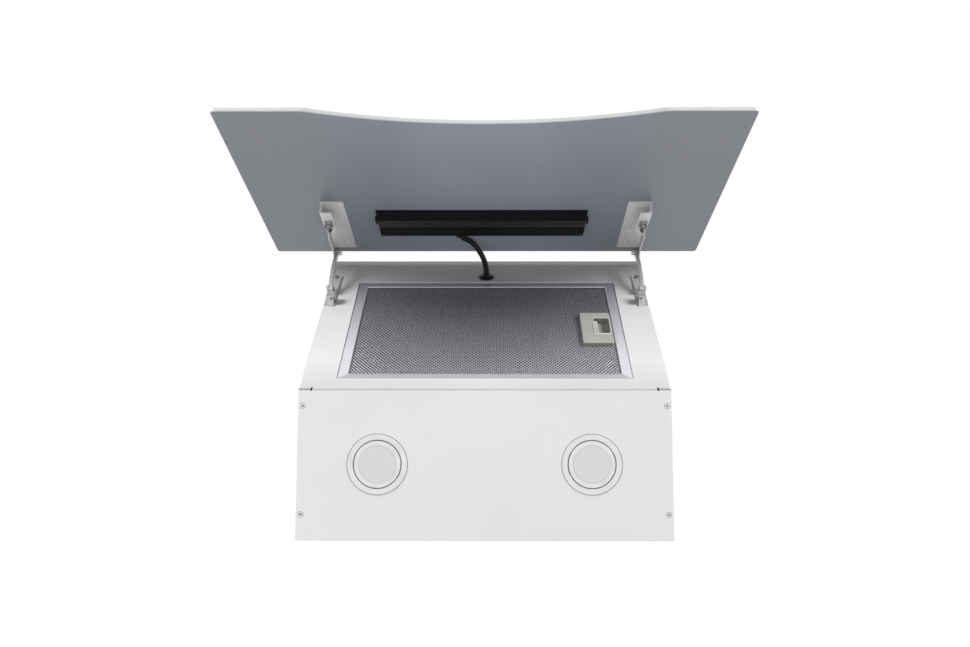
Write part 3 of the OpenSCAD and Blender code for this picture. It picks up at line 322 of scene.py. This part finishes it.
# Sheet metal and enamel
white_enamel = enamel("white_enamel", grey(0.785), 0.42)
face_enamel = enamel("face_enamel", grey(0.81), 0.55, specular=0.08)
# Darker copy of the white enamel: painted shade on the rounded bend above the fold
bend_painted_shade = enamel("bend_painted_shade", grey(0.62), 0.42)
zinc_sheet = satin_metal("zinc_sheet", (0.55, 0.56, 0.57), 0.45, grain=(1, 1, 0.05), amount=0.12)
cast_aluminium = satin_metal("cast_aluminium", (0.42, 0.43, 0.45), 0.5, grain=(1, 1, 1), amount=0.15)

# Hinges, catches and fasteners
hinge_steel = satin_metal("hinge_steel", (0.66, 0.655, 0.65), 0.4, grain=DRAWN, metal=0.45)
bracket_steel = satin_metal("bracket_steel", (0.97, 0.965, 0.955), 0.4, grain=DRAWN, metal=0.3)
bright_steel = satin_metal("bright_steel", grey(0.72), 0.25, depth=0.05, amount=0.04, metal=0.9)
rivet_steel = satin_metal("rivet_steel", grey(0.98), 0.2, amount=0.02)
# Dark steel of the catch barrels, also used as painted shade on the keepers' walls
dark_steel = satin_metal("dark_steel", grey(0.2), 0.28, amount=0.1)
screw_steel = satin_metal("screw_steel", grey(0.3), 0.35, amount=0.1)
catch_grey = satin_metal("catch_grey", grey(0.5), 0.3, amount=0.08, metal=0.4)

# Filter
frame_aluminium = rail_metal("frame_aluminium", (0.77, 0.765, 0.81))
# Lit and shaded copies of the frame metal: painted shade for the top rail, painted highlight for the side
# rails and the top rail's inner chamfer
rail_painted_shade = rail_metal("rail_painted_shade", (0.3, 0.297, 0.325))
rail_painted_light = rail_metal("rail_painted_light", (0.95, 0.94, 0.98), metal=0.3)
lip_painted_highlight = satin_metal("lip_painted_highlight", (0.95, 0.95, 0.97), 0.35, depth=0.05, amount=0.02, metal=0.2)
mesh_aluminium = satin_metal("mesh_aluminium", (0.70, 0.68, 0.725), 0.28,
                             depth=0.0, amount=0.05, metal=0.6, patch=1500)
# Near black copy of the mesh metal: painted shade for the inside of the filter
mesh_painted_shade = satin_metal("mesh_painted_shade", (0.045, 0.042, 0.05), 0.5, amount=0.2, metal=0.7, patch=1500)
handle_plastic = moulded("handle_plastic", (0.48, 0.468, 0.44), 0.42)
# Lit and shaded copies of the handle plastic: painted highlight, and painted shade in the recess and on the
# walls
handle_painted_light = moulded("handle_painted_light", (0.64, 0.63, 0.59), 0.4)
handle_shade = moulded("handle_shade", (0.42, 0.41, 0.385), 0.5)
handle_dark_shade = moulded("handle_dark_shade", (0.24, 0.235, 0.2), 0.5)

# Lamps, fan and electrics
lamp_white = moulded("lamp_white", grey(0.77), 0.35, depth=0.05)
lamp_board = circuit("lamp_board", (0.7, 0.68, 0.6))
green_board = circuit("green_board", (0.02, 0.16, 0.06))
fan_plastic = moulded("fan_plastic", (0.25, 0.25, 0.27), 0.45)
motor_paint = moulded("motor_paint", (0.09, 0.09, 0.1), 0.4)
grey_plastic = moulded("grey_plastic", (0.06, 0.06, 0.065), 0.5)
white_plastic = moulded("white_plastic", (0.68, 0.68, 0.66), 0.4)
# Black rubber of grommets, glands and cable, also used as painted shade round the lamp plate's screws
black_rubber = moulded("black_rubber", grey(0.006), 0.5)
black_plastic = moulded("black_plastic", grey(0.006), 0.36, grain=900, specular=0.25)
# Lighter and darker copies of the black plastic: painted highlight and painted shade on the control box
box_painted_light = moulded("box_painted_light", grey(0.028), 0.4, grain=900, specular=0.25)
box_painted_shade = moulded("box_painted_shade", grey(0.005), 0.6, grain=900, specular=0.06)
# Dark greys of strips put as painted shadow in the gaps at the fold and round the lamps
gap_shadow_grey = moulded("gap_shadow_grey", grey(0.12), 0.6)
gap_shadow_soft = moulded("gap_shadow_soft", grey(0.36), 0.5)

# Glass
glass_white = enamel("glass_white", (0.7, 0.705, 0.7), 0.12)
glass_edge = enamel("glass_edge", (0.66, 0.67, 0.665), 0.3)
glass_back = enamel("glass_back", (0.53, 0.555, 0.635), 0.35)

# Painted shade: tints that darken the slanted face, brackets, filter mesh, side rails and glass back by
# height, the glass back also toward its sides
grade(face_enamel, (0.0, 0.145), FULL, grey(0.72))
grade(face_enamel, (-0.14, -0.09), grey(0.81), FULL)
# Painted shade on the face's top strip against the lamp light that passes over the glass's upper edge
grade(face_enamel, (0.138, 0.150), FULL, grey(0.28))
grade(bracket_steel, (-0.08, 0.10), FULL, grey(0.78))
grade(mesh_aluminium, (-0.11, 0.05), FULL, grey(0.7))
grade(rail_painted_light, (-0.07, 0.09), FULL, (0.29, 0.29, 0.325))
grade(glass_back, (-0.30, 0.12), FULL, (0.67, 0.71, 0.715))
grade(glass_back, (0.06, 0.2), FULL, grey(0.66), "X")

FINISHES = {
    zinc_sheet: "back_panel top_panel motor_bracket",
    hinge_steel: "hinge_base_left hinge_base_right hinge_arm_left hinge_arm_right"
                 " catch_keeper_left catch_keeper_right",
    bracket_steel: "glass_bracket_left glass_bracket_right",
    bright_steel: "hinge_pin_left hinge_pin_right motor_shaft flap_rod latch_spring",
    screw_steel: "hinge_fixings",
    white_enamel: "side_left side_right light_plate light_plate_screws",
    face_enamel: "face_panel",
    dark_steel: "catch_barrel_left catch_barrel_right",
    frame_aluminium: "filter_frame filter_tabs",
    mesh_painted_shade: "filter_core filter_back_mesh",
    cast_aluminium: "lamp_can_left lamp_can_right",
    handle_plastic: "filter_handle filter_latch",
    lamp_white: "lamp_bezel_left lamp_bezel_right",
    frosted(): "lamp_lens_left lamp_lens_right",
    lamp_board: "lamp_board_left lamp_board_right",
    green_board: "control_board",
    fan_plastic: "fan_scroll fan_side_left fan_side_right fan_flange fan_wheel",
    motor_paint: "motor",
    grey_plastic: "duct_collar flap_front flap_back terminal_box",
    white_plastic: "capacitor lamp_driver",
    black_rubber: "grommet mains_gland box_gland",
    black_plastic: "control_box control_box_caps",
}


def dress(obj, mat):
    """Gives a node one finish."""
    obj.data.materials.clear()
    obj.data.materials.append(mat)


for finish, names in FINISHES.items():
    for name in names.split():
        dress(nodes[name], finish)


# Second colours on single faces, most of them painted shade or painted highlight
def level(x, y, z):
    """A point in the hood's own axes."""
    return Vector((x, y, z))


def into(place):
    """Matrix from the world to the axes that a place function draws in."""
    origin = place(0, 0, 0)
    sides = [place(*step) - origin for step in ((1, 0, 0), (0, 1, 0), (0, 0, 1))]
    return (Matrix.Translation(origin) @ Matrix(sides).transposed().to_4x4()).inverted()


def paint(names, mat, place, chosen):
    """Gives a finish to those faces of some nodes whose middle and normal are chosen."""
    for name in names.split():
        obj = nodes[name]
        obj.data.materials.append(mat)
        last = len(obj.data.materials) - 1
        local = into(place) @ obj.matrix_world
        for face in obj.data.polygons:
            if chosen(local @ face.center, (local.to_3x3() @ face.normal).normalized()):
                face.material_index = last


def in_recess(p):
    """Whether a point lies in the finger recess of the handle or on its walls."""
    wall = 0.3 * MM
    return abs(p.x - RECESS_X) < RECESS_W / 2 + wall and abs(p.y - RECESS_S) < RECESS_L / 2 + wall


def outward(n):
    """Whether a face looks off the surface that it stands on."""
    return n.z > 0.5


def sideways(n):
    """Whether a face is a wall of what stands on the surface."""
    return abs(n.z) < 0.5


def rail_of(p):
    """The rail of the filter's frame that a point lies in."""
    gaps = {"left": p.x + FILTER_W / 2, "right": FILTER_W / 2 - p.x, "bottom": p.y - FILTER_S,
            "top": FILTER_S + FILTER_L - p.y}
    return min(gaps, key=gaps.get)


def on_catch_end(p, n, near, far):
    """Whether a face closes its side's catch barrel, between two distances from the barrel's axis."""
    off_axis = math.hypot(abs(p.x) - CATCH_X, p.z - CATCH_H)
    return n.y > 0.9 and p.y > CATCH_END - SKIN and near < off_axis < far


# Painted shade on the recess floor and walls and on the handle's outer walls and underside
paint("filter_handle", handle_shade, on_slope, lambda p, n: in_recess(p) and outward(n) and p.z < 0)
paint("filter_handle", handle_dark_shade, on_slope, lambda p, n: in_recess(p) and sideways(n))
paint("filter_handle", handle_shade, on_slope, lambda p, n: not in_recess(p) and sideways(n) and n.y > -0.5)
paint("filter_handle", handle_dark_shade, on_slope, lambda p, n: not in_recess(p) and n.y < -0.5)
# Painted shade on the latch's low base, painted highlight on its raised faces
paint("filter_latch", handle_shade, on_slope, lambda p, n: outward(n) and p.z < LATCH_STEP)
paint("filter_latch", handle_painted_light, on_slope, lambda p, n: outward(n) and p.z > LATCH_STEP)
# Painted shade on the keepers' side walls and on the walls that face up the slope
paint("catch_keeper_left catch_keeper_right", dark_steel, on_slope,
      lambda p, n: abs(n.x) > 0.5 or n.y > 0.5)
# Painted shade on the frame's top rail, painted highlight on the side rails and on the top rail's inner
# chamfer
paint("filter_frame", rail_painted_shade, on_slope, lambda p, n: n.z > 0.9 and rail_of(p) == "top")
paint("filter_frame", rail_painted_light, on_slope, lambda p, n: n.z > 0.9 and rail_of(p) in ("left", "right"))
paint("filter_frame", lip_painted_highlight, on_slope, lambda p, n: 0.1 < n.z < 0.9 and rail_of(p) == "top")
# Painted shade in the screws' recesses and round their heads, and on the plate's countersinks beside them
paint("light_plate_screws", black_rubber, level, lambda p, n: abs(n.z) < 0.95 or p.z > -HANG + 0.1 * MM)
paint("light_plate", black_rubber, level,
      lambda p, n: 0.1 < abs(n.z) < 0.95 and abs(abs(p.x) - SCREW_X) < SCREW_REACH)
# Painted highlight on the control box's flat tops, painted shade with a duller sheen on its slightly tilted
# faces
paint("control_box control_box_caps", box_painted_light, on_glass, lambda p, n: n.z > 0.999 and p.z > BOX_H - SKIN)
paint("control_box control_box_caps", box_painted_shade, on_glass, lambda p, n: 0.9 < n.z < 0.999 and p.z > BOX_FLANK)
paint("catch_barrel_left catch_barrel_right", catch_grey, on_glass,
      lambda p, n: p.z < CATCH_FOOT or on_catch_end(p, n, CATCH_RING_IN, CATCH_RING_OUT))
paint("catch_barrel_left catch_barrel_right", rivet_steel, on_glass,
      lambda p, n: on_catch_end(p, n, 0, CATCH_TIP_R))


# Meshes
def new_object(name, verts, faces, mats, smooth=False):
    """A mesh object in the scene, from points and faces."""
    mesh = bpy.data.meshes.new(name)
    mesh.from_pydata([tuple(v) for v in verts], [], faces)
    for mat in mats:
        mesh.materials.append(mat)
    mesh.polygons.foreach_set("use_smooth", [smooth] * len(mesh.polygons))
    mesh.update()
    obj = bpy.data.objects.new(name, mesh)
    bpy.context.scene.collection.objects.link(obj)
    return obj


def arc(cx, cy, r, start, end, steps):
    """Points of an arc round a centre, from one angle to another."""
    turns = [start + (end - start) * k / steps for k in range(steps + 1)]
    return [(cx + r * math.cos(a), cy + r * math.sin(a)) for a in turns]


def glass_outline(inset):
    """Round cornered sheet with a shallow hollow in its free edge, drawn in by inset."""
    w, l, c = GLASS_W / 2 - inset, GLASS_L - inset, GLASS_CORNER - inset
    left = arc(-w + c, inset + c, c, math.pi, 1.5 * math.pi, 5)
    right = arc(w - c, inset + c, c, 1.5 * math.pi, 2 * math.pi, 5)
    far_right = arc(w - c, l - c, c, 0, 0.5 * math.pi, 5)
    far_left = arc(-w + c, l - c, c, 0.5 * math.pi, math.pi, 5)
    wave_r = (WAVE_HALF ** 2 + WAVE_DEPTH ** 2) / (2 * WAVE_DEPTH) + inset
    centre = GLASS_L - WAVE_DEPTH + wave_r - inset
    half = math.asin(math.sqrt(wave_r ** 2 - (centre - l) ** 2) / wave_r)
    hollow = arc(0, centre, wave_r, -0.5 * math.pi + half, -0.5 * math.pi - half, 72)
    return left + right + far_right + hollow + far_left


def make_glass():
    """Glass front: white face and ground edges, grey paint on the back."""
    arris = 0.7 * MM
    edge, back, front = range(3)
    levels = [(arris, -GLASS_T), (0, -GLASS_T + arris), (0, -arris), (arris, 0)]
    verts, faces, which = [], [], []
    for inset, h in levels:
        verts += [on_glass(x, u, h) for x, u in glass_outline(inset)]
    n = len(verts) // len(levels)
    for row in range(len(levels) - 1):
        a, b = row * n, (row + 1) * n
        for k in range(n):
            m = (k + 1) % n
            faces.append((a + k, a + m, b + m, b + k))
            which.append(edge)
    faces.append(tuple(reversed(range(n))))
    which.append(front)
    faces.append(tuple(range(3 * n, 4 * n)))
    which.append(back)
    obj = new_object("glass_front", verts, faces, [glass_edge, glass_back, glass_white])
    obj.data.polygons.foreach_set("material_index", which)
    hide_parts("glass_panel")
    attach(obj, "panel")


make_glass()


def make_mesh_sheet(name, strand, top, depth, mat):
    """Expanded metal: staggered diamonds whose strands lean, one side of each diamond raised."""
    tuck = 1 * MM
    wire = 0.5 * MM
    x0, x1 = -FILTER_W / 2 + FRAME_W - tuck, FILTER_W / 2 - FRAME_W + tuck
    s0, s1 = FILTER_S + FRAME_W - tuck, FILTER_S + FILTER_L - FRAME_W + tuck
    cols = int(round((x1 - x0) / MESH_PITCH_X))
    rows = int(round((s1 - s0) / (MESH_PITCH_S / 2)))
    dx, ds = (x1 - x0) / cols, (s1 - s0) / rows
    verts, faces = [], []

    def diamond(cx, cs, hx, hs, low, high):
        mid = (low + high) / 2
        return [(cx - hx, cs, mid), (cx, cs - hs, low), (cx + hx, cs, mid), (cx, cs + hs, high)]

    for j in range(rows + 1):
        for i in range(cols + 1):
            cx, cs = x0 + (i + (j % 2) / 2) * dx, s0 + j * ds
            if not (x0 + dx * 0.4 < cx < x1 - dx * 0.4 and s0 + ds * 0.4 < cs < s1 - ds * 0.4):
                continue
            if abs(cx - HANDLE_X) < HANDLE_W / 2 - tuck and abs(cs - HANDLE_S) < HANDLE_L / 2 - tuck:
                continue
            outer = diamond(cx, cs, dx / 2, ds, top - depth, top)
            inner = diamond(cx, cs, dx / 2 - strand, ds - strand * 1.3, top - depth * 0.6, top - depth * 0.4)
            under = [(x, s, n - wire) for x, s, n in inner]
            base = len(verts)
            verts += [on_slope(*p) for p in outer + inner + under]
            for k in range(4):
                m = (k + 1) % 4
                faces.append((base + k, base + m, base + 4 + m, base + 4 + k))
                faces.append((base + 4 + k, base + 4 + m, base + 8 + m, base + 8 + k))
    obj = new_object(name, verts, faces, [mat])
    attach(obj, "root")
    return obj


mesh_front = make_mesh_sheet("filter_mesh_fine", 0.65 * MM, MESH_N, 0.9 * MM, mesh_aluminium)
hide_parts("filter_mesh")
# Second mesh layer in the near black painted shade
make_mesh_sheet("filter_mesh_second", 0.8 * MM, MESH_N - MESH_LAYER, 0.8 * MM, mesh_painted_shade)


def dome(place, radius, height, steps):
    """Points and faces of a low round rivet head on the back of the glass."""
    x, u, h = place
    levels = [(radius, 0), (radius, height * 0.5), (radius * 0.8, height * 0.85), (radius * 0.4, height)]
    turns = [2 * math.pi * k / steps for k in range(steps)]
    verts = [on_glass(x + r * math.cos(a), u + r * math.sin(a), h + up) for r, up in levels for a in turns]
    faces = []
    for row in range(len(levels) - 1):
        a, b = row * steps, (row + 1) * steps
        faces += [(a + k, a + (k + 1) % steps, b + (k + 1) % steps, b + k) for k in range(steps)]
    faces.append(tuple(range(len(verts) - steps, len(verts))))
    return verts, faces


def make_bracket_rivets():
    """Pale rivet heads in the holes of both brackets, which hold them to the glass."""
    verts, faces = [], []
    for side in (-1, 1):
        for across, u, r in BRACKET_HOLES:
            place = (side * (BRACKET_INNER + across * MM), u * MM, BRACKET_T * 0.4)
            points, sides = dome(place, r * MM, BRACKET_T * 0.9, 16)
            faces += [tuple(i + len(verts) for i in face) for face in sides]
            verts += points
    obj = new_object("bracket_rivets", verts, faces, [rivet_steel], smooth=True)
    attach(obj, "panel")


make_bracket_rivets()


def bars(name, blocks, mat, place=level):
    """Square bars, each between two corners of the axes that place draws in."""
    sides = ((0, 1, 3, 2), (4, 6, 7, 5), (0, 4, 5, 1), (2, 3, 7, 6), (0, 2, 6, 4), (1, 5, 7, 3))
    verts, faces = [], []
    for low, high in blocks:
        base = len(verts)
        xs, ys, zs = zip(low, high)
        verts += [place(x, y, z) for x in xs for y in ys for z in zs]
        faces += [tuple(base + i for i in face) for face in sides]
    return new_object(name, verts, faces, [mat])


def make_fold_gap_shadow():
    """Painted shadow in the gap of the fold, softer outboard of the notches, and painted shade on the rounded
    bend above.
    """
    under, over = -HANG - STRIP_PROUD, -HANG + STRIP_DEPTH
    inner = BODY_HALF - NOTCH_INSET - 1.5 * MM
    middle = [((-inner, -PLATE_DEPTH - 0.2 * MM, under), (inner, -PLATE_DEPTH + 0.3 * MM, over))]
    bends = [((-inner, 0.5 * MM, -STRIP_DEPTH), (inner, 3.6 * MM, STRIP_PROUD))]
    corners = []
    for side in (-1, 1):
        near, far = sorted((side * (inner + 3 * MM), side * (BODY_HALF - 0.3 * MM)))
        corners.append(((near, -PLATE_DEPTH - 1.6 * MM, under), (far, -PLATE_DEPTH + 0.5 * MM, over)))
    for name, blocks, mat, slot, place in (
            ("fold_gap_shadow", middle, gap_shadow_grey, "black_rubber", level),
            ("fold_corner_shadows", corners, gap_shadow_soft, "zinc_sheet", level),
            ("fold_bend_shade", bends, bend_painted_shade, "white_enamel", on_slope)):
        obj = bars(name, blocks, mat, place)
        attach(obj, "root")


make_fold_gap_shadow()


def make_latch_lip():
    """Broad finger lip of the latch in the left part of the recess, in the lighter copy of the handle plastic
    as painted highlight.
    """
    left = RECESS_X - RECESS_W / 2 + 0.3 * MM
    low, high = (left, RECESS_S - LIP_L / 2, LIP_LOW), (left + LIP_W, RECESS_S + LIP_L / 2, LIP_TOP)
    obj = bars("latch_lip", [(low, high)], handle_painted_light, on_slope)
    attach(obj, "latch")


make_latch_lip()


def rings(name, centres, inner, outer, low, high, mat):
    """Flat rings round upright axes."""
    steps = 96
    turns = [2 * math.pi * k / steps for k in range(steps)]
    verts, faces = [], []
    for x, y in centres:
        base = len(verts)
        for r, z in ((inner, low), (outer, low), (outer, high), (inner, high)):
            verts += [(x + r * math.cos(a), y + r * math.sin(a), z) for a in turns]
        for turn in range(4):
            a, b = base + turn * steps, base + (turn + 1) % 4 * steps
            faces += [(a + k, b + k, b + (k + 1) % steps, a + (k + 1) % steps) for k in range(steps)]
    return new_object(name, verts, faces, [mat])


def make_lamp_gap_shadows():
    """Narrow dark ring round each lamp as painted shadow in its gap, with the plate's pressed rim outside it.
    """
    centres = [(-LAMP_X, -LAMP_Y), (LAMP_X, -LAMP_Y)]
    under, over = -HANG - STRIP_PROUD, -HANG + STRIP_DEPTH
    shadow_ring = rings("lamp_gap_shadows", centres, LAMP_SHADOW_IN, LAMP_SHADOW_OUT, under - LAMP_PROUD, over, gap_shadow_grey)
    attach(shadow_ring, "root")
    rim = rings("lamp_rims", centres, LAMP_SHADOW_OUT, LAMP_RIM_OUT, under, over, white_enamel)
    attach(rim, "root")


make_lamp_gap_shadows()


def tube(name, path, radius, sides, mat):
    """Round tube with closed ends along a path."""
    verts, faces = [], []
    last = len(path) - 1
    across = Vector((1, 0, 0.2)).normalized()
    for i, p in enumerate(path):
        ahead = (path[min(i + 1, last)] - path[max(i - 1, 0)]).normalized()
        across = (across - ahead * across.dot(ahead)).normalized()
        other = ahead.cross(across)
        for k in range(sides):
            a = 2 * math.pi * k / sides
            verts.append(p + radius * (across * math.cos(a) + other * math.sin(a)))
    for i in range(last):
        for k in range(sides):
            m = (k + 1) % sides
            faces.append((i * sides + k, i * sides + m, (i + 1) * sides + m, (i + 1) * sides + k))
    faces.append(tuple(reversed(range(sides))))
    faces.append(tuple(range(last * sides, (last + 1) * sides)))
    return new_object(name, verts, faces, [mat], smooth=True)


def make_handle_rim():
    """Rounded rim of the finger recess, in the lighter copy of the handle plastic as painted highlight."""
    w, l = RECESS_W / 2 - RECESS_R, RECESS_L / 2 - RECESS_R
    corners = [(w, -l, -0.5), (w, l, 0), (-w, l, 0.5), (-w, -l, 1)]
    outline = []
    for x, s, start in corners:
        outline += arc(x, s, RECESS_R, start * math.pi, (start + 0.5) * math.pi, 6)
    path = [on_slope(RECESS_X + x, RECESS_S + s, HANDLE_TOP) for x, s in outline + outline[:1]]
    obj = tube("handle_rim", path, RIM_R, 8, handle_painted_light)
    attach(obj, "root")


make_handle_rim()


# Cable: its route in millimetres above the lamp plate, the same as in the solids
CABLE_ROUTE = [
    (-34.5, -404.4, 196), (-34.5, -403.2, 203), (-33, -402, 210), (-29, -400.9, 216.5),
    (-23, -399.3, 222), (-17, -395.5, 226.5), (-11, -388.5, 231), (-5.5, -380, 236.2),
    (-1.8, -371.3, 242.4), (0, -361.9, 249.4), (0, -353.7, 255.2), (0, -348.8, 258.6),
]


def smooth_route(points, steps):
    """Catmull-Rom curve through the points."""
    out = []
    for i in range(len(points) - 1):
        p0, p1 = points[max(i - 1, 0)], points[i]
        p2, p3 = points[i + 1], points[min(i + 2, len(points) - 1)]
        for k in range(steps):
            t = k / steps
            out.append(0.5 * (2 * p1 + (p2 - p0) * t + (2 * p0 - 5 * p1 + 4 * p2 - p3) * t * t
                              + (3 * p1 - p0 - 3 * p2 + p3) * t ** 3))
    return out + [points[-1]]


def make_cable():
    """Black cable from the control box to the grommet, on a fixed route that curves round where the glass
    turns.
    """
    points = [Vector(p) * MM - Vector((0, 0, HANG)) for p in CABLE_ROUTE]
    path = smooth_route(points, 4)
    obj = tube("cable_black", path, CABLE_D / 2, 20, black_rubber)
    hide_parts("cable")
    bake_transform(obj)


make_cable()


# Light and floor
DIM = 0.205
FLOOR_Z = -1.75
FLOOR_HALF = 4
LAMP_SIZE = 0.7
AIM = (0, -0.28, 0)
WALL_LAMP_POWER = 4.2


def make_world():
    """White surroundings for what the camera sees or sees mirrored, dim as a light on matt faces."""
    world = bpy.data.worlds.new("studio")
    bpy.context.scene.world = world
    world.use_nodes = True
    tree = world.node_tree
    background = tree.nodes["Background"]
    background.inputs["Color"].default_value = (1, 1, 1, 1)
    path = tree.nodes.new("ShaderNodeLightPath")
    seen, through = (tree.nodes.new("ShaderNodeMath") for _ in range(2))
    for either in (seen, through):
        either.operation = "ADD"
        either.use_clamp = True
    strength = tree.nodes.new("ShaderNodeMapRange")
    strength.inputs["To Min"].default_value = DIM
    strength.inputs["To Max"].default_value = 1.0
    tree.links.new(path.outputs["Is Camera Ray"], seen.inputs[0])
    tree.links.new(path.outputs["Is Glossy Ray"], seen.inputs[1])
    tree.links.new(seen.outputs["Value"], through.inputs[0])
    tree.links.new(path.outputs["Is Transmission Ray"], through.inputs[1])
    tree.links.new(through.outputs["Value"], strength.inputs["Value"])
    tree.links.new(strength.outputs["Result"], background.inputs["Strength"])


def make_floor():
    """Pale plain floor, a camera's height below the hood."""
    color = grey(0.86)
    mat, tree, shader = principled("floor_white", color, 0.9, specular=0.1)
    vary_color(tree, shader, noise(tree, 2), color, 0.01)
    corners = [(x * FLOOR_HALF, y * FLOOR_HALF, FLOOR_Z) for x, y in ((-1, -1), (1, -1), (1, 1), (-1, 1))]
    new_object("floor", corners, [(0, 1, 2, 3)], [mat])


def make_lamp(name, place, power):
    """Round soft lamp aimed at the hood."""
    data = bpy.data.lights.new(name, "AREA")
    data.shape = "DISK"
    data.size = LAMP_SIZE
    data.energy = power
    lamp = bpy.data.objects.new(name, data)
    lamp.location = place
    lamp.rotation_euler = (Vector(AIM) - Vector(place)).to_track_quat("-Z", "Y").to_euler()
    bpy.context.scene.collection.objects.link(lamp)


make_world()
make_floor()
for side, power in ((-1, 22), (1, 20.5)):
    make_lamp("side_front", (side * 1.3, -1.0, -0.6), power)
    make_lamp("side_wall", (side * 0.6, 0.5, -1.5), WALL_LAMP_POWER)

view = bpy.context.scene.view_settings
view.view_transform = "Standard"
